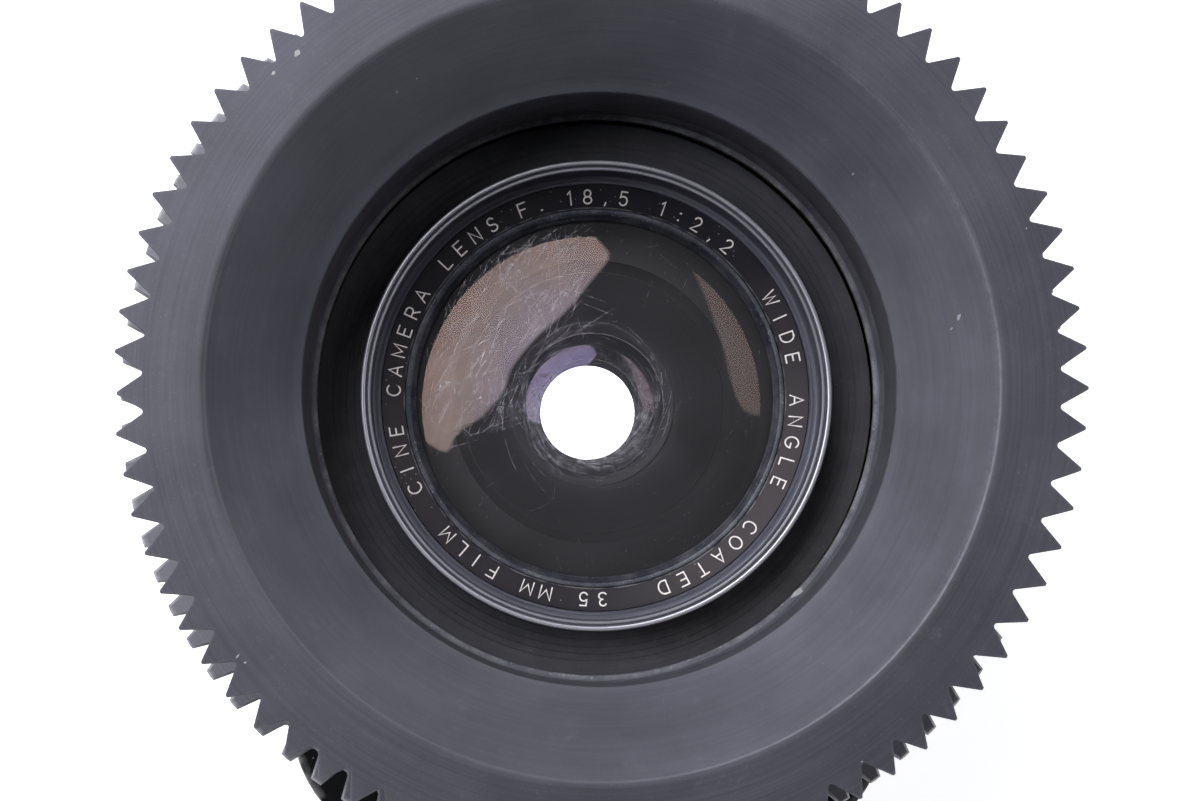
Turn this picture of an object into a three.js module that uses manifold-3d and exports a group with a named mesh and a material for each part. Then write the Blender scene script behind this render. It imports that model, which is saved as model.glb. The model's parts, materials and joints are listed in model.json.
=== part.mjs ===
// A wide-angle lens for a 35 mm film camera: toothed focus and iris rings, a flared hood cut into
// the front ring, a deep-set optical block on a helicoid, a ten-bladed iris and a lugged plate.
// The optical axis is Z, the front faces +Z, the origin is the centre of the rear face, and the
// plate's lug points to -Y. Lengths are millimetres and angles degrees.
import * as THREE from "three";
import { mergeVertices } from "three/addons/utils/BufferGeometryUtils.js";
import Module from "manifold-3d";

const wasm = await Module();
wasm.setup();

// ---------------------------------------------------------------- driving dimensions
// A depth is measured back from the front face.
const LENGTH = 66; // front face to rear face
const GAP = 0.3; // clearance between neighbouring pieces
const ROUND = 40; // sides of a large turned part
const BLOCK_ROUND = 30; // sides of the optical block's inner tubes
const SMALL_ROUND = 24; // sides of a small turned part
const GLASS_ROUND = 20; // sides of a glass element

const FOCUS_TEETH = 75;
const FOCUS_TIP_R = 38.5;
const FOCUS_ROOT_R = 36.3;
const FOCUS_TIP_FLAT = 0.3; // width of a tooth's crest
const FOCUS_ROOT_FLAT = 0.5; // width of the valley between two teeth
const FOCUS_PHASE = -0.8; // angle of the tooth nearest +X
const FOCUS_GEAR_DEPTH = 9;

const IRIS_TEETH = 80;
const IRIS_TIP_R = 41;
const IRIS_ROOT_R = 38.8;
const IRIS_TIP_FLAT = 1.1;
const IRIS_ROOT_FLAT = 0.7;
const IRIS_GEAR_FRONT = 18.8;
const IRIS_GEAR_BACK = 26.8;

const HOOD_LIP_R = 32.1; // where the flat front face ends
const HOOD_MOUTH_R = 31.6; // the cone's front edge, behind the lip's chamfer
const HOOD_CHAMFER = 0.4;
const HOOD_THROAT_R = 24.6; // the cone's rear edge, and the bore of the recess

const SLEEVE_OUTER_R = 27.6; // the sleeve and the helicoid nut that carry the focus ring
const SLEEVE_BACK = 20.3;
const NUT_R = 24.9;
const NUT_BACK = 40.5;
const SCALE_R = 35.2; // the engraved distance ring
const SCALE_BACK = 15.4;
const INDEX_R = 35.8; // the fixed index ring
const INDEX_BACK = 18.4;
const APERTURE_R = 35.6; // the engraved aperture ring
const APERTURE_BACK = 32;

const BARREL_R = 29.6; // bore of the fixed barrel and the housing behind it
const BARREL_WALL_R = 32.5;
const FLANGE_R = 36; // flanges that clamp the mount plate
const PLATE_R = 39;
const PLATE_FRONT = 36;
const PLATE_BACK = 40;
const LUG_HALF_WIDTH = 27.7;
const LUG_CORNER = 12;
const LUG_DROP = 41; // axis to the lug's lower edge
const HOUSING_FLANGE_BACK = 43.3;
const HOUSING_R = 31.9;
const SPIGOT_BORE_R = 17.6;
const SPIGOT_R = 21;

const BEZEL_R = 20.4; // the bright front rim of the optical block
const BEZEL_LIP_R = 19.55;
const BEZEL_FRONT = 17.9;
const BEZEL_BACK = 30;
const FLOOR_FRONT = 23.6; // floor of the recess round the optical block
const FLOOR_R = 23.9; // it passes inside the hood sleeve's lip
const THREAD_FRONT = 29.6; // the helicoid sleeve's thread
const THREAD_BACK = 39.5;
const NAME_OUTER_R = 18.7;
const NAME_INNER_R = 16.8;
const NAME_FRONT = 21.2;
const NAME_BACK = 23.7;
const CLEAR_R = 15.75; // bore of the ring that holds the front glass
const BAFFLE_R = 6.65; // opening of the cone between the first and second glass
const BAFFLE_OUTER_R = 11.9;
const BAFFLE_FRONT = 30.6;
const BAFFLE_BACK = 33.8;
const CELL_FRONT = 24;
const CELL_SHELF = 28.6;
const CELL_BORE_R = 13.2;
const SPACER_R = 7.9; // clear bore between the middle glasses, and of the rear cell
const MIDDLE_BORE_R = 9; // seat of the second and middle glasses
const MIDDLE_SEAT_BACK = 40.6;
const CHAMBER_FRONT = 42.3; // the iris chamber
const CHAMBER_BACK = 47.9;
const CHAMBER_WALL_R = 16.4;
const BLOCK_TUBE_BACK = 40;

const BLADES = 10;
const BLADE_INNER_R = 5.1; // inner edge of an open blade
const BLADE_OUTER_R = 9.6;
const BLADE_PIVOT_R = 12.2;
const BLADE_THICK = 0.12;
const BLADE_PITCH = 0.18; // axial step from one blade to the next
const BLADES_FRONT = 44.45;
const STOP_R = 4.6; // the fixed aperture behind the blades
const IRIS_CHAMBER_R = 14.4;

const FOCUS_THROW = 170; // turn of the focus ring, infinity to nearest
const IRIS_THROW = 85; // turn of the iris ring, open to closed
const PIN_ANGLE = 300; // where the iris drive pins stand at full aperture
const STOP_ANGLE = 200; // where the focus stop pin stands

// The glasses from front to rear. r is a surface's own clear radius where a flat rim surrounds it.
const GLASSES = {
  front_meniscus: {
    edge: 16.9,
    front: { pole: 21.3, curve: 58 },
    rear: { pole: 23.6, curve: 20, r: 12.8 },
  },
  second_meniscus: {
    edge: 8.7,
    front: { pole: 33.2, curve: 20 },
    rear: { pole: 34.5, curve: 12, r: 7 },
  },
  middle_lens: { edge: 8.7, front: { pole: 37.6, curve: 22 }, rear: { pole: 41.5, curve: -26 } },
  doublet_front: { edge: 7.6, front: { pole: 49.6, curve: -20 }, rear: { pole: 50.8, curve: 16 } },
  doublet_rear: { edge: 7.6, front: { pole: 51.1, curve: 16 }, rear: { pole: 54.5, curve: -17 } },
  rear_lens_1: { edge: 8.8, front: { pole: 56, curve: -60 }, rear: { pole: 58, curve: -24 } },
  rear_lens_2: { edge: 8.8, front: { pole: 58.4, curve: 34 }, rear: { pole: 61, curve: -40 } },
};

// ---------------------------------------------------------------- materials
function finish(color, roughness, metalness, more = {}) {
  return new THREE.MeshStandardMaterial({ color, roughness, metalness, ...more });
}
const anodised = finish(0x55555c, 0.42, 0.8);
const matteBlack = finish(0x1c1c20, 0.8, 0.3);
const enamel = finish(0x08080a, 0.15, 0.2);
const engravedBlack = finish(0x222226, 0.5, 0.5);
const brightRim = finish(0xb8b8bc, 0.3, 0.95);
const brass = finish(0xb08d4c, 0.4, 0.9);
const steel = finish(0x9a9a9e, 0.35, 0.95);
const bluedSteel = finish(0x20222c, 0.45, 0.8);
const glass = finish(0xb9a9c0, 0.05, 0, { transparent: true, opacity: 0.35 });

// ---------------------------------------------------------------- shaping helpers
const radians = THREE.MathUtils.degToRad;
const polar = (r, degrees) =>
  new THREE.Vector2(r * Math.cos(radians(degrees)), r * Math.sin(radians(degrees)));

// Points along an arc of radius r about (0, 0), both ends included.
function arc(r, from, to, steps) {
  return Array.from({ length: steps + 1 }, (_, i) => polar(r, from + ((to - from) * i) / steps));
}

// A full circle about a centre, as a closed outline without a repeated point.
function circle(r, sides, centre = new THREE.Vector2()) {
  return arc(r, 0, 360, sides).slice(0, sides).map((p) => p.add(centre));
}

// [radius, depth] points turned about the optical axis, in either direction.
function turned(profile, sides = ROUND) {
  const points = profile.map(([r, depth]) => new THREE.Vector2(r, LENGTH - depth));
  if (THREE.ShapeUtils.area(points) < 0) points.reverse();
  if (!points.some((p) => p.x === 0)) points.push(points[0].clone());
  return new THREE.LatheGeometry(points, sides).rotateX(Math.PI / 2);
}

// A plain tube between two radii and two depths.
function tube(inner, outer, front, back, sides = ROUND) {
  return turned([[inner, front], [outer, front], [outer, back], [inner, back]], sides);
}

// A flat outline given thickness between two depths.
function plate(outline, front, back, holes = []) {
  const shape = new THREE.Shape(outline);
  shape.holes = holes.map((hole) => new THREE.Path(hole));
  const body = new THREE.ExtrudeGeometry(shape, { depth: back - front, bevelEnabled: false });
  return body.translate(0, 0, LENGTH - back);
}

// Part of a ring, between two angles.
function sector(inner, outer, from, to, front, back, steps = 10) {
  const outline = [...arc(outer, from, to, steps), ...arc(inner, to, from, steps)];
  return plate(outline, front, back);
}

// A round pin that points away from the axis, between two radii.
function radialPin(r, from, to, degrees, depth, sides = 10) {
  return new THREE.CylinderGeometry(r, r, to - from, sides)
    .translate(0, (from + to) / 2, 0)
    .rotateZ(radians(degrees - 90))
    .translate(0, 0, LENGTH - depth);
}

// A round pin parallel to the axis, at a radius and an angle.
function axialPin(r, front, back, at, degrees, sides = 10) {
  return plate(circle(r, sides, polar(at, degrees)), front, back);
}

// A geometry as a manifold-3d solid, and back again.
function solid(geometry) {
  const bare = new THREE.BufferGeometry().setAttribute("position", geometry.attributes.position);
  bare.setIndex(geometry.index);
  const merged = mergeVertices(bare, 1e-4);
  return new wasm.Manifold(
    new wasm.Mesh({
      numProp: 3,
      vertProperties: merged.attributes.position.array,
      triVerts: new Uint32Array(merged.index.array),
    }),
  );
}

function geometryOf(body) {
  const made = body.getMesh();
  return new THREE.BufferGeometry()
    .setAttribute("position", new THREE.BufferAttribute(made.vertProperties, 3))
    .setIndex(new THREE.BufferAttribute(made.triVerts, 1));
}

function cut(geometry, ...tools) {
  return geometryOf(tools.reduce((body, tool) => body.subtract(solid(tool)), solid(geometry)));
}

function join(...pieces) {
  return geometryOf(pieces.map(solid).reduce((a, b) => a.add(b)));
}

const lens = new THREE.Group();
function add(name, geometry, material) {
  const mesh = new THREE.Mesh(geometry, material);
  mesh.name = name;
  lens.add(mesh);
}

// ---------------------------------------------------------------- toothed rings
// Straight-flanked teeth: each has a crest of tipFlat and a valley of rootFlat.
function toothedOutline(teeth, tipR, rootR, tipFlat, rootFlat, phase = 0) {
  const pitch = 360 / teeth;
  const tipHalf = THREE.MathUtils.radToDeg(tipFlat / 2 / tipR);
  const rootHalf = THREE.MathUtils.radToDeg(rootFlat / 2 / rootR);
  return Array.from({ length: teeth }, (_, i) => phase + i * pitch).flatMap((middle) => [
    polar(rootR, middle - pitch / 2 + rootHalf),
    polar(tipR, middle - tipHalf),
    polar(tipR, middle + tipHalf),
    polar(rootR, middle + pitch / 2 - rootHalf),
  ]);
}

function focusGearRing() {
  const teeth = toothedOutline(
    FOCUS_TEETH, FOCUS_TIP_R, FOCUS_ROOT_R, FOCUS_TIP_FLAT, FOCUS_ROOT_FLAT, FOCUS_PHASE,
  );
  const past = 1; // the cone's tool runs past both faces
  const hood = turned([
    [0, -past],
    [HOOD_LIP_R, -past],
    [HOOD_LIP_R, 0],
    [HOOD_MOUTH_R, HOOD_CHAMFER],
    [HOOD_THROAT_R, FOCUS_GEAR_DEPTH],
    [HOOD_THROAT_R, FOCUS_GEAR_DEPTH + past],
    [0, FOCUS_GEAR_DEPTH + past],
  ]);
  return cut(plate(teeth, 0, FOCUS_GEAR_DEPTH), hood);
}

function irisGearRing() {
  const teeth = toothedOutline(IRIS_TEETH, IRIS_TIP_R, IRIS_ROOT_R, IRIS_TIP_FLAT, IRIS_ROOT_FLAT);
  const bore = circle(BARREL_WALL_R + GAP, ROUND);
  return plate(teeth, IRIS_GEAR_FRONT, IRIS_GEAR_BACK, [bore]);
}

// ---------------------------------------------------------------- focus group
const SET_SCREWS = 3;
const SET_SCREW_R = 0.95;
const SET_SCREW_SEAT = 2.7; // depth of its hole below the ring's surface
const setScrewAngle = (i) => 30 + (360 / SET_SCREWS) * i;

// Holes for the set screws of an engraved ring, and the screws that sit in them.
function setScrewHoles(ringR, depth) {
  return Array.from({ length: SET_SCREWS }, (_, i) =>
    radialPin(SET_SCREW_R + GAP, ringR - SET_SCREW_SEAT, ringR + 1, setScrewAngle(i), depth));
}
function addSetScrews(name, ringR, depth) {
  for (let i = 0; i < SET_SCREWS; i++) {
    const from = ringR - SET_SCREW_SEAT + GAP;
    const screw = radialPin(SET_SCREW_R, from, ringR - GAP, setScrewAngle(i), depth);
    add(`${name}_${i + 1}`, screw, steel);
  }
}

const STOP_PIN_R = 0.9;
const STOP_PIN_AT = 31.5; // its distance from the axis
const STOP_PIN_FRONT = 13.6;
const STOP_PIN_BACK = 17;
const SCALE_SCREW_DEPTH = 11.5;

function distanceRing() {
  const body = tube(SLEEVE_OUTER_R + GAP, SCALE_R, FOCUS_GEAR_DEPTH + GAP, SCALE_BACK);
  const halfWidth = STOP_PIN_R + GAP;
  const slack = 3; // degrees of groove past each end of the throw
  const groove = sector(
    STOP_PIN_AT - halfWidth, STOP_PIN_AT + halfWidth,
    STOP_ANGLE - FOCUS_THROW - slack, STOP_ANGLE + slack,
    STOP_PIN_FRONT - GAP, SCALE_BACK + 1, 26,
  );
  return cut(body, groove, ...setScrewHoles(SCALE_R, SCALE_SCREW_DEPTH));
}

function addFocusGroup() {
  const lipR = HOOD_THROAT_R - 0.4;
  const lipWidth = 0.6;
  add("focus_gear_ring", focusGearRing(), anodised);
  add("hood_sleeve", turned([
    [HOOD_THROAT_R, FOCUS_GEAR_DEPTH + GAP],
    [SLEEVE_OUTER_R, FOCUS_GEAR_DEPTH + GAP],
    [SLEEVE_OUTER_R, SLEEVE_BACK],
    [lipR, SLEEVE_BACK],
    [lipR, SLEEVE_BACK - lipWidth],
    [HOOD_THROAT_R, SLEEVE_BACK - lipWidth],
  ]), matteBlack);
  add("helicoid_nut", tube(NUT_R, SLEEVE_OUTER_R, SLEEVE_BACK + GAP, NUT_BACK), brass);
  add("distance_ring", distanceRing(), engravedBlack);
  addSetScrews("distance_ring_screw", SCALE_R, SCALE_SCREW_DEPTH);
}

// ---------------------------------------------------------------- iris ring group
const DRIVE_PIN_R = 1;
const DRIVE_PIN_DEPTH = 29.5;
const DRIVE_SLEEVE_R = 28.1;
const DRIVE_SLEEVE_WALL = 1.1;
const DRIVE_SLEEVE_FRONT = 28;
const DRIVE_SLEEVE_BACK = 48.5;
const ACTUATOR_PIN_R = 0.7;
const ACTUATOR_PIN_DEPTH = 43.4;

function addIrisRingGroup() {
  const bore = BARREL_WALL_R + GAP;
  const ring = tube(bore, APERTURE_R, IRIS_GEAR_BACK + GAP, APERTURE_BACK);
  const pinHole = radialPin(
    DRIVE_PIN_R + GAP, bore - 1, APERTURE_R + 1, PIN_ANGLE, DRIVE_PIN_DEPTH,
  );
  const ringScrews = setScrewHoles(APERTURE_R, DRIVE_PIN_DEPTH);
  add("iris_gear_ring", irisGearRing(), anodised);
  add("aperture_ring", cut(ring, pinHole, ...ringScrews), engravedBlack);
  addSetScrews("aperture_ring_screw", APERTURE_R, DRIVE_PIN_DEPTH);
  const pinEnd = APERTURE_R - GAP;
  add("iris_drive_pin",
    radialPin(DRIVE_PIN_R, BARREL_R - 0.1, pinEnd, PIN_ANGLE, DRIVE_PIN_DEPTH), steel);

  const outer = DRIVE_SLEEVE_R + DRIVE_SLEEVE_WALL;
  const sleeve = tube(DRIVE_SLEEVE_R, outer, DRIVE_SLEEVE_FRONT, DRIVE_SLEEVE_BACK);
  const notchHalfAngle = 2.6;
  const notch = sector(
    DRIVE_SLEEVE_R - 1, outer + 1, PIN_ANGLE - notchHalfAngle, PIN_ANGLE + notchHalfAngle,
    NUT_BACK + 0.4, DRIVE_SLEEVE_BACK + 1, 1,
  );
  add("iris_drive_sleeve", cut(sleeve, notch), brass);
}

// ---------------------------------------------------------------- fixed mount group
const PLATE_SCREWS = 4;
const PLATE_SCREW_AT = 34.1;
const PLATE_SCREW_R = 0.9;
const PLATE_SCREW_HEAD_R = 1.7;
const PLATE_SCREW_HEAD = 1.2;
const plateScrewAngle = (i) => 45 + (360 / PLATE_SCREWS) * i;
const plateScrewHoles = (front, back) =>
  Array.from({ length: PLATE_SCREWS }, (_, i) =>
    axialPin(PLATE_SCREW_R + GAP, front, back, PLATE_SCREW_AT, plateScrewAngle(i)));

function fixedBarrel() {
  const flangeFront = APERTURE_BACK + 0.4;
  const back = PLATE_FRONT - GAP;
  const body = turned([
    [BARREL_R, IRIS_GEAR_FRONT - 0.1],
    [BARREL_WALL_R, IRIS_GEAR_FRONT - 0.1],
    [BARREL_WALL_R, flangeFront],
    [FLANGE_R, flangeFront],
    [FLANGE_R, back],
    [BARREL_R, back],
  ]);
  const slack = 3; // degrees of slot past each end of the throw
  const pinSlot = sector(
    BARREL_R - 1, BARREL_WALL_R + 0.15, PIN_ANGLE - slack, PIN_ANGLE + IRIS_THROW + slack,
    DRIVE_PIN_DEPTH - DRIVE_PIN_R - GAP, DRIVE_PIN_DEPTH + DRIVE_PIN_R + GAP,
  );
  return cut(body, pinSlot, ...plateScrewHoles(33.5, PLATE_FRONT));
}

// The plate: a disc with a rounded lug on its -Y side.
function mountPlate() {
  const cornerX = LUG_HALF_WIDTH - LUG_CORNER;
  const cornerY = LUG_CORNER - LUG_DROP;
  const corner = (side, from, to) =>
    arc(LUG_CORNER, from, to, 6).map((p) => p.add(new THREE.Vector2(side * cornerX, cornerY)));
  const edge = THREE.MathUtils.radToDeg(Math.acos(LUG_HALF_WIDTH / PLATE_R));
  const rim = arc(PLATE_R, -edge, 180 + edge, 36);
  const outline = [...rim, ...corner(-1, 180, 270), ...corner(1, 270, 360)];
  const body = plate(outline, PLATE_FRONT, PLATE_BACK, [circle(BARREL_R + 0.2, ROUND)]);
  const pinHole = axialPin(
    LOCATING_PIN_R + GAP, PLATE_BACK - 2, PLATE_BACK + 1, LOCATING_PIN_AT, 270,
  );
  return cut(body, pinHole, ...plateScrewHoles(PLATE_FRONT - 1, PLATE_BACK + 1));
}

const LOCATING_PIN_R = 1.25;
const LOCATING_PIN_AT = 38.2;
const HOUSING_WALL_FRONT = 50;
const HOUSING_WALL_BACK = 52.5;

function rearHousing() {
  const body = turned([
    [BARREL_R, PLATE_BACK + GAP],
    [FLANGE_R, PLATE_BACK + GAP],
    [FLANGE_R, HOUSING_FLANGE_BACK],
    [HOUSING_R, HOUSING_FLANGE_BACK],
    [HOUSING_R, HOUSING_WALL_BACK],
    [SPIGOT_R, HOUSING_WALL_BACK],
    [SPIGOT_R, LENGTH],
    [SPIGOT_BORE_R, LENGTH],
    [SPIGOT_BORE_R, HOUSING_WALL_FRONT],
    [BARREL_R, HOUSING_WALL_FRONT],
  ]);
  return cut(body, ...plateScrewHoles(PLATE_BACK, HOUSING_FLANGE_BACK + 1));
}

const KEY_HALF_WIDTH = 1.4;
const KEY_FRONT = 53.5;
const KEY_BACK = 59.5;
const KEY_INNER_R = 15.4;
const keyBar = (halfWidth, inner, outer, front, back) =>
  new THREE.BoxGeometry(2 * halfWidth, outer - inner, back - front)
    .translate(0, (inner + outer) / 2, LENGTH - (front + back) / 2);

function addMountGroup() {
  const seat = axialPin(STOP_PIN_R + GAP, SCALE_BACK, STOP_PIN_BACK + GAP, STOP_PIN_AT, STOP_ANGLE);
  const index = tube(SLEEVE_OUTER_R + GAP, INDEX_R, SCALE_BACK + 0.4, INDEX_BACK);
  add("index_ring", cut(index, seat), engravedBlack);
  add("focus_stop_pin",
    axialPin(STOP_PIN_R, STOP_PIN_FRONT, STOP_PIN_BACK, STOP_PIN_AT, STOP_ANGLE), steel);
  add("fixed_barrel", fixedBarrel(), anodised);
  add("mount_plate", mountPlate(), enamel);
  add("rear_housing", rearHousing(), matteBlack);
  add("guide_key",
    keyBar(KEY_HALF_WIDTH, KEY_INNER_R, SPIGOT_BORE_R - GAP, KEY_FRONT, KEY_BACK), brass);
  add("locating_pin",
    axialPin(LOCATING_PIN_R, PLATE_BACK - 1.7, PLATE_BACK + 2.5, LOCATING_PIN_AT, 270), steel);
  for (let i = 0; i < PLATE_SCREWS; i++) {
    const headFront = HOUSING_FLANGE_BACK + GAP;
    const at = [PLATE_SCREW_AT, plateScrewAngle(i)];
    add(`plate_screw_${i + 1}`, join(
      axialPin(PLATE_SCREW_R, 33.8, headFront + 0.1, ...at),
      axialPin(PLATE_SCREW_HEAD_R, headFront, headFront + PLATE_SCREW_HEAD, ...at, 14),
    ), steel);
  }
}

// ---------------------------------------------------------------- optical block
// Points of a spherical surface from the axis to radius r, its pole at a depth. A positive
// curvature radius bulges to the front.
function surface(pole, curvature, r, steps = 3) {
  const edge = Math.asin(r / Math.abs(curvature));
  return Array.from({ length: steps + 1 }, (_, i) => {
    const angle = (edge * i) / steps;
    const sag = Math.sign(curvature) * Math.abs(curvature) * (1 - Math.cos(angle));
    return [Math.abs(curvature) * Math.sin(angle), pole + sag];
  });
}

// A glass element: front and rear surfaces, and a plain edge.
function addGlass(name) {
  const { edge, front, rear } = GLASSES[name];
  const faceF = surface(front.pole, front.curve, front.r ?? edge);
  const faceR = surface(rear.pole, rear.curve, rear.r ?? edge);
  const rim = rear.r ? [[edge, faceR.at(-1)[1]]] : [];
  add(name, turned([...faceF, ...rim, ...faceR.reverse()], GLASS_ROUND), glass);
}

function addFrontOptics() {
  add("filter_bezel", turned([
    [BEZEL_LIP_R, BEZEL_FRONT],
    [BEZEL_R, BEZEL_FRONT],
    [BEZEL_R, BEZEL_BACK],
    [NAME_OUTER_R + GAP, BEZEL_BACK],
    [NAME_OUTER_R + GAP, NAME_FRONT],
    [BEZEL_LIP_R, NAME_FRONT],
  ]), brightRim);
  add("name_ring", turned([
    [NAME_OUTER_R, NAME_FRONT],
    [NAME_OUTER_R, NAME_BACK],
    [NAME_INNER_R, NAME_BACK],
    [NAME_INNER_R, NAME_FRONT + 0.9],
  ]), engravedBlack);
  // The ring's bore opens to the front, so that it shades none of the glass.
  const keeperR = NAME_INNER_R - GAP;
  const keeperFront = NAME_FRONT + 1.1;
  const keeperBack = NAME_FRONT + 2;
  add("front_retaining_ring", turned([
    [keeperR - 0.25, keeperFront],
    [keeperR, keeperFront],
    [keeperR, keeperBack],
    [CLEAR_R, keeperBack],
  ]), bluedSteel);
  addGlass("front_meniscus");
  const glassSeatR = GLASSES.front_meniscus.edge + GAP;
  add("front_cell", turned([
    [glassSeatR, CELL_FRONT],
    [NAME_OUTER_R, CELL_FRONT],
    [NAME_OUTER_R, BEZEL_BACK],
    [CELL_BORE_R, BEZEL_BACK],
    [CELL_BORE_R, CELL_SHELF],
    [glassSeatR, CELL_SHELF],
  ]), matteBlack);
  // The cone narrows to a shallow step round its opening.
  add("baffle_cone", turned([
    [BAFFLE_OUTER_R - 0.7, BAFFLE_FRONT],
    [BAFFLE_OUTER_R, BAFFLE_FRONT],
    [BAFFLE_OUTER_R, BAFFLE_BACK],
    [BAFFLE_R, BAFFLE_BACK],
    [BAFFLE_R, BAFFLE_BACK - 0.5],
    [BAFFLE_R + 1.05, BAFFLE_BACK - 0.9],
  ], BLOCK_ROUND), matteBlack);
  addGlass("second_meniscus");
}

// The main tube of the block: seats for the baffle and the middle elements in front, and the iris
// chamber behind, slotted for the iris actuator's pin.
function opticalBarrel() {
  const front = BEZEL_BACK + GAP;
  const baffleSeat = BAFFLE_BACK + GAP;
  const body = turned([
    [BAFFLE_OUTER_R + GAP, front],
    [BEZEL_R, front],
    [BEZEL_R, BLOCK_TUBE_BACK],
    [CHAMBER_WALL_R, BLOCK_TUBE_BACK],
    [CHAMBER_WALL_R, CHAMBER_BACK],
    [IRIS_CHAMBER_R, CHAMBER_BACK],
    [IRIS_CHAMBER_R, CHAMBER_FRONT],
    [SPACER_R, CHAMBER_FRONT],
    [SPACER_R, MIDDLE_SEAT_BACK],
    [MIDDLE_BORE_R, MIDDLE_SEAT_BACK],
    [MIDDLE_BORE_R, baffleSeat],
    [BAFFLE_OUTER_R + GAP, baffleSeat],
  ], BLOCK_ROUND);
  const slack = 4; // degrees of slot past each end of the throw
  const halfWidth = ACTUATOR_PIN_R + GAP;
  const slot = sector(
    IRIS_CHAMBER_R - 1, CHAMBER_WALL_R + 1, PIN_ANGLE - slack, PIN_ANGLE + IRIS_THROW + slack,
    ACTUATOR_PIN_DEPTH - halfWidth, ACTUATOR_PIN_DEPTH + halfWidth,
  );
  return cut(body, slot);
}

const MIDDLE_SPACER_FRONT = 37;
const MIDDLE_SPACER_BACK = 38.6;

function addMiddleOptics() {
  add("optical_barrel", opticalBarrel(), matteBlack);
  // Its plain front end is the floor of the recess, and its thread starts behind the bezel.
  const threadR = NUT_R - 0.35;
  add("helicoid_sleeve", turned([
    [BEZEL_R + GAP, FLOOR_FRONT],
    [FLOOR_R, FLOOR_FRONT],
    [FLOOR_R, THREAD_FRONT],
    [threadR, THREAD_FRONT],
    [threadR, THREAD_BACK],
    [BEZEL_R + GAP, THREAD_BACK],
  ]), brass);
  add("middle_spacer",
    tube(SPACER_R, MIDDLE_BORE_R - GAP, MIDDLE_SPACER_FRONT, MIDDLE_SPACER_BACK, SMALL_ROUND),
    matteBlack);
  addGlass("middle_lens");
}

const REAR_CELL_R = 16.6;
const REAR_CELL_FRONT = CHAMBER_BACK + GAP;
const REAR_CELL_BACK = 62.6;
const REAR_SEAT_R = 9.2; // seat of the two rear lenses
const REAR_SEAT_FRONT = 55;
const REAR_RING_R = 8.9; // the spacer and the retaining ring behind the doublet
const REAR_RING_BACK = 61.9;
const KEYWAY_FRONT = 51;

function addRearOptics() {
  const cell = turned([
    [SPACER_R, REAR_CELL_FRONT],
    [REAR_CELL_R, REAR_CELL_FRONT],
    [REAR_CELL_R, REAR_CELL_BACK],
    [REAR_SEAT_R + 1.2, REAR_CELL_BACK],
    [REAR_SEAT_R, REAR_RING_BACK],
    [REAR_SEAT_R, REAR_SEAT_FRONT],
    [SPACER_R, REAR_SEAT_FRONT],
  ], BLOCK_ROUND);
  const keyway = keyBar(
    KEY_HALF_WIDTH + GAP, KEY_INNER_R - GAP, REAR_CELL_R + 1, KEYWAY_FRONT, REAR_CELL_BACK + 1,
  );
  add("rear_cell", cut(cell, keyway), matteBlack);
  ["doublet_front", "doublet_rear", "rear_lens_1", "rear_lens_2"].forEach(addGlass);
  add("rear_spacer", tube(SPACER_R + 0.2, REAR_RING_R, 56.8, 58.7, SMALL_ROUND), matteBlack);
  add("rear_retaining_ring",
    tube(SPACER_R, REAR_RING_R, REAR_RING_BACK - 1.2, REAR_RING_BACK, SMALL_ROUND), matteBlack);
}

// ---------------------------------------------------------------- iris
// A blade is a curved band with an ear at its pivot. It hangs counterclockwise from the pivot.
function bladeOutline() {
  const ear = 1.4;
  const rootAngle = 12;
  const tipAngle = 106;
  const pivot = polar(BLADE_PIVOT_R, 0);
  return [
    ...arc(BLADE_OUTER_R, rootAngle, tipAngle, 6),
    polar((BLADE_INNER_R + BLADE_OUTER_R) / 2, tipAngle + 9),
    ...arc(BLADE_INNER_R, tipAngle, -rootAngle, 7),
    polar(BLADE_OUTER_R, -rootAngle),
    ...arc(ear, -75, 75, 3).map((p) => p.add(pivot)),
  ];
}

function addIris() {
  const baseFront = BLADES_FRONT + BLADES * BLADE_PITCH + 0.2;
  const baseBack = 47.6;
  const pivotR = 0.45;
  const bladeAngle = (i) => (360 / BLADES) * i;
  for (let i = 0; i < BLADES; i++) {
    const front = BLADES_FRONT + i * BLADE_PITCH;
    const blade = join(
      plate(bladeOutline(), front, front + BLADE_THICK),
      axialPin(pivotR, front + BLADE_THICK / 2, baseBack - 0.2, BLADE_PIVOT_R, 0, 8),
    ).rotateZ(radians(bladeAngle(i)));
    add(`iris_blade_${i + 1}`, blade, bluedSteel);
  }
  const pivotHoles = Array.from({ length: BLADES }, (_, i) =>
    circle(pivotR + 0.2, 8, polar(BLADE_PIVOT_R, bladeAngle(i))));
  const outer = IRIS_CHAMBER_R - GAP;
  const stop = circle(STOP_R, SMALL_ROUND);
  const baseOutline = circle(outer, BLOCK_ROUND);
  add("iris_base", plate(baseOutline, baseFront, baseBack, [stop, ...pivotHoles]), matteBlack);

  // The actuator has one slot for each blade.
  const actuatorFront = 42.6;
  const actuatorBack = BLADES_FRONT - 0.25;
  const slots = Array.from({ length: BLADES }, (_, i) => {
    const middle = bladeAngle(i) + 12;
    return [...arc(11.6, middle - 8, middle + 8, 2), ...arc(10.4, middle + 12, middle - 4, 2)];
  });
  const ring = plate(
    circle(outer, BLOCK_ROUND), actuatorFront, actuatorBack,
    [circle(BLADE_INNER_R + 1.2, SMALL_ROUND), ...slots],
  );
  add("iris_actuator", ring, brass);
  add("actuator_pin",
    radialPin(ACTUATOR_PIN_R, outer + GAP, 28.9, PIN_ANGLE, ACTUATOR_PIN_DEPTH), steel);
}

addFocusGroup();
addIrisRingGroup();
addMountGroup();
addFrontOptics();
addMiddleOptics();
addRearOptics();
addIris();

export default lens;
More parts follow.
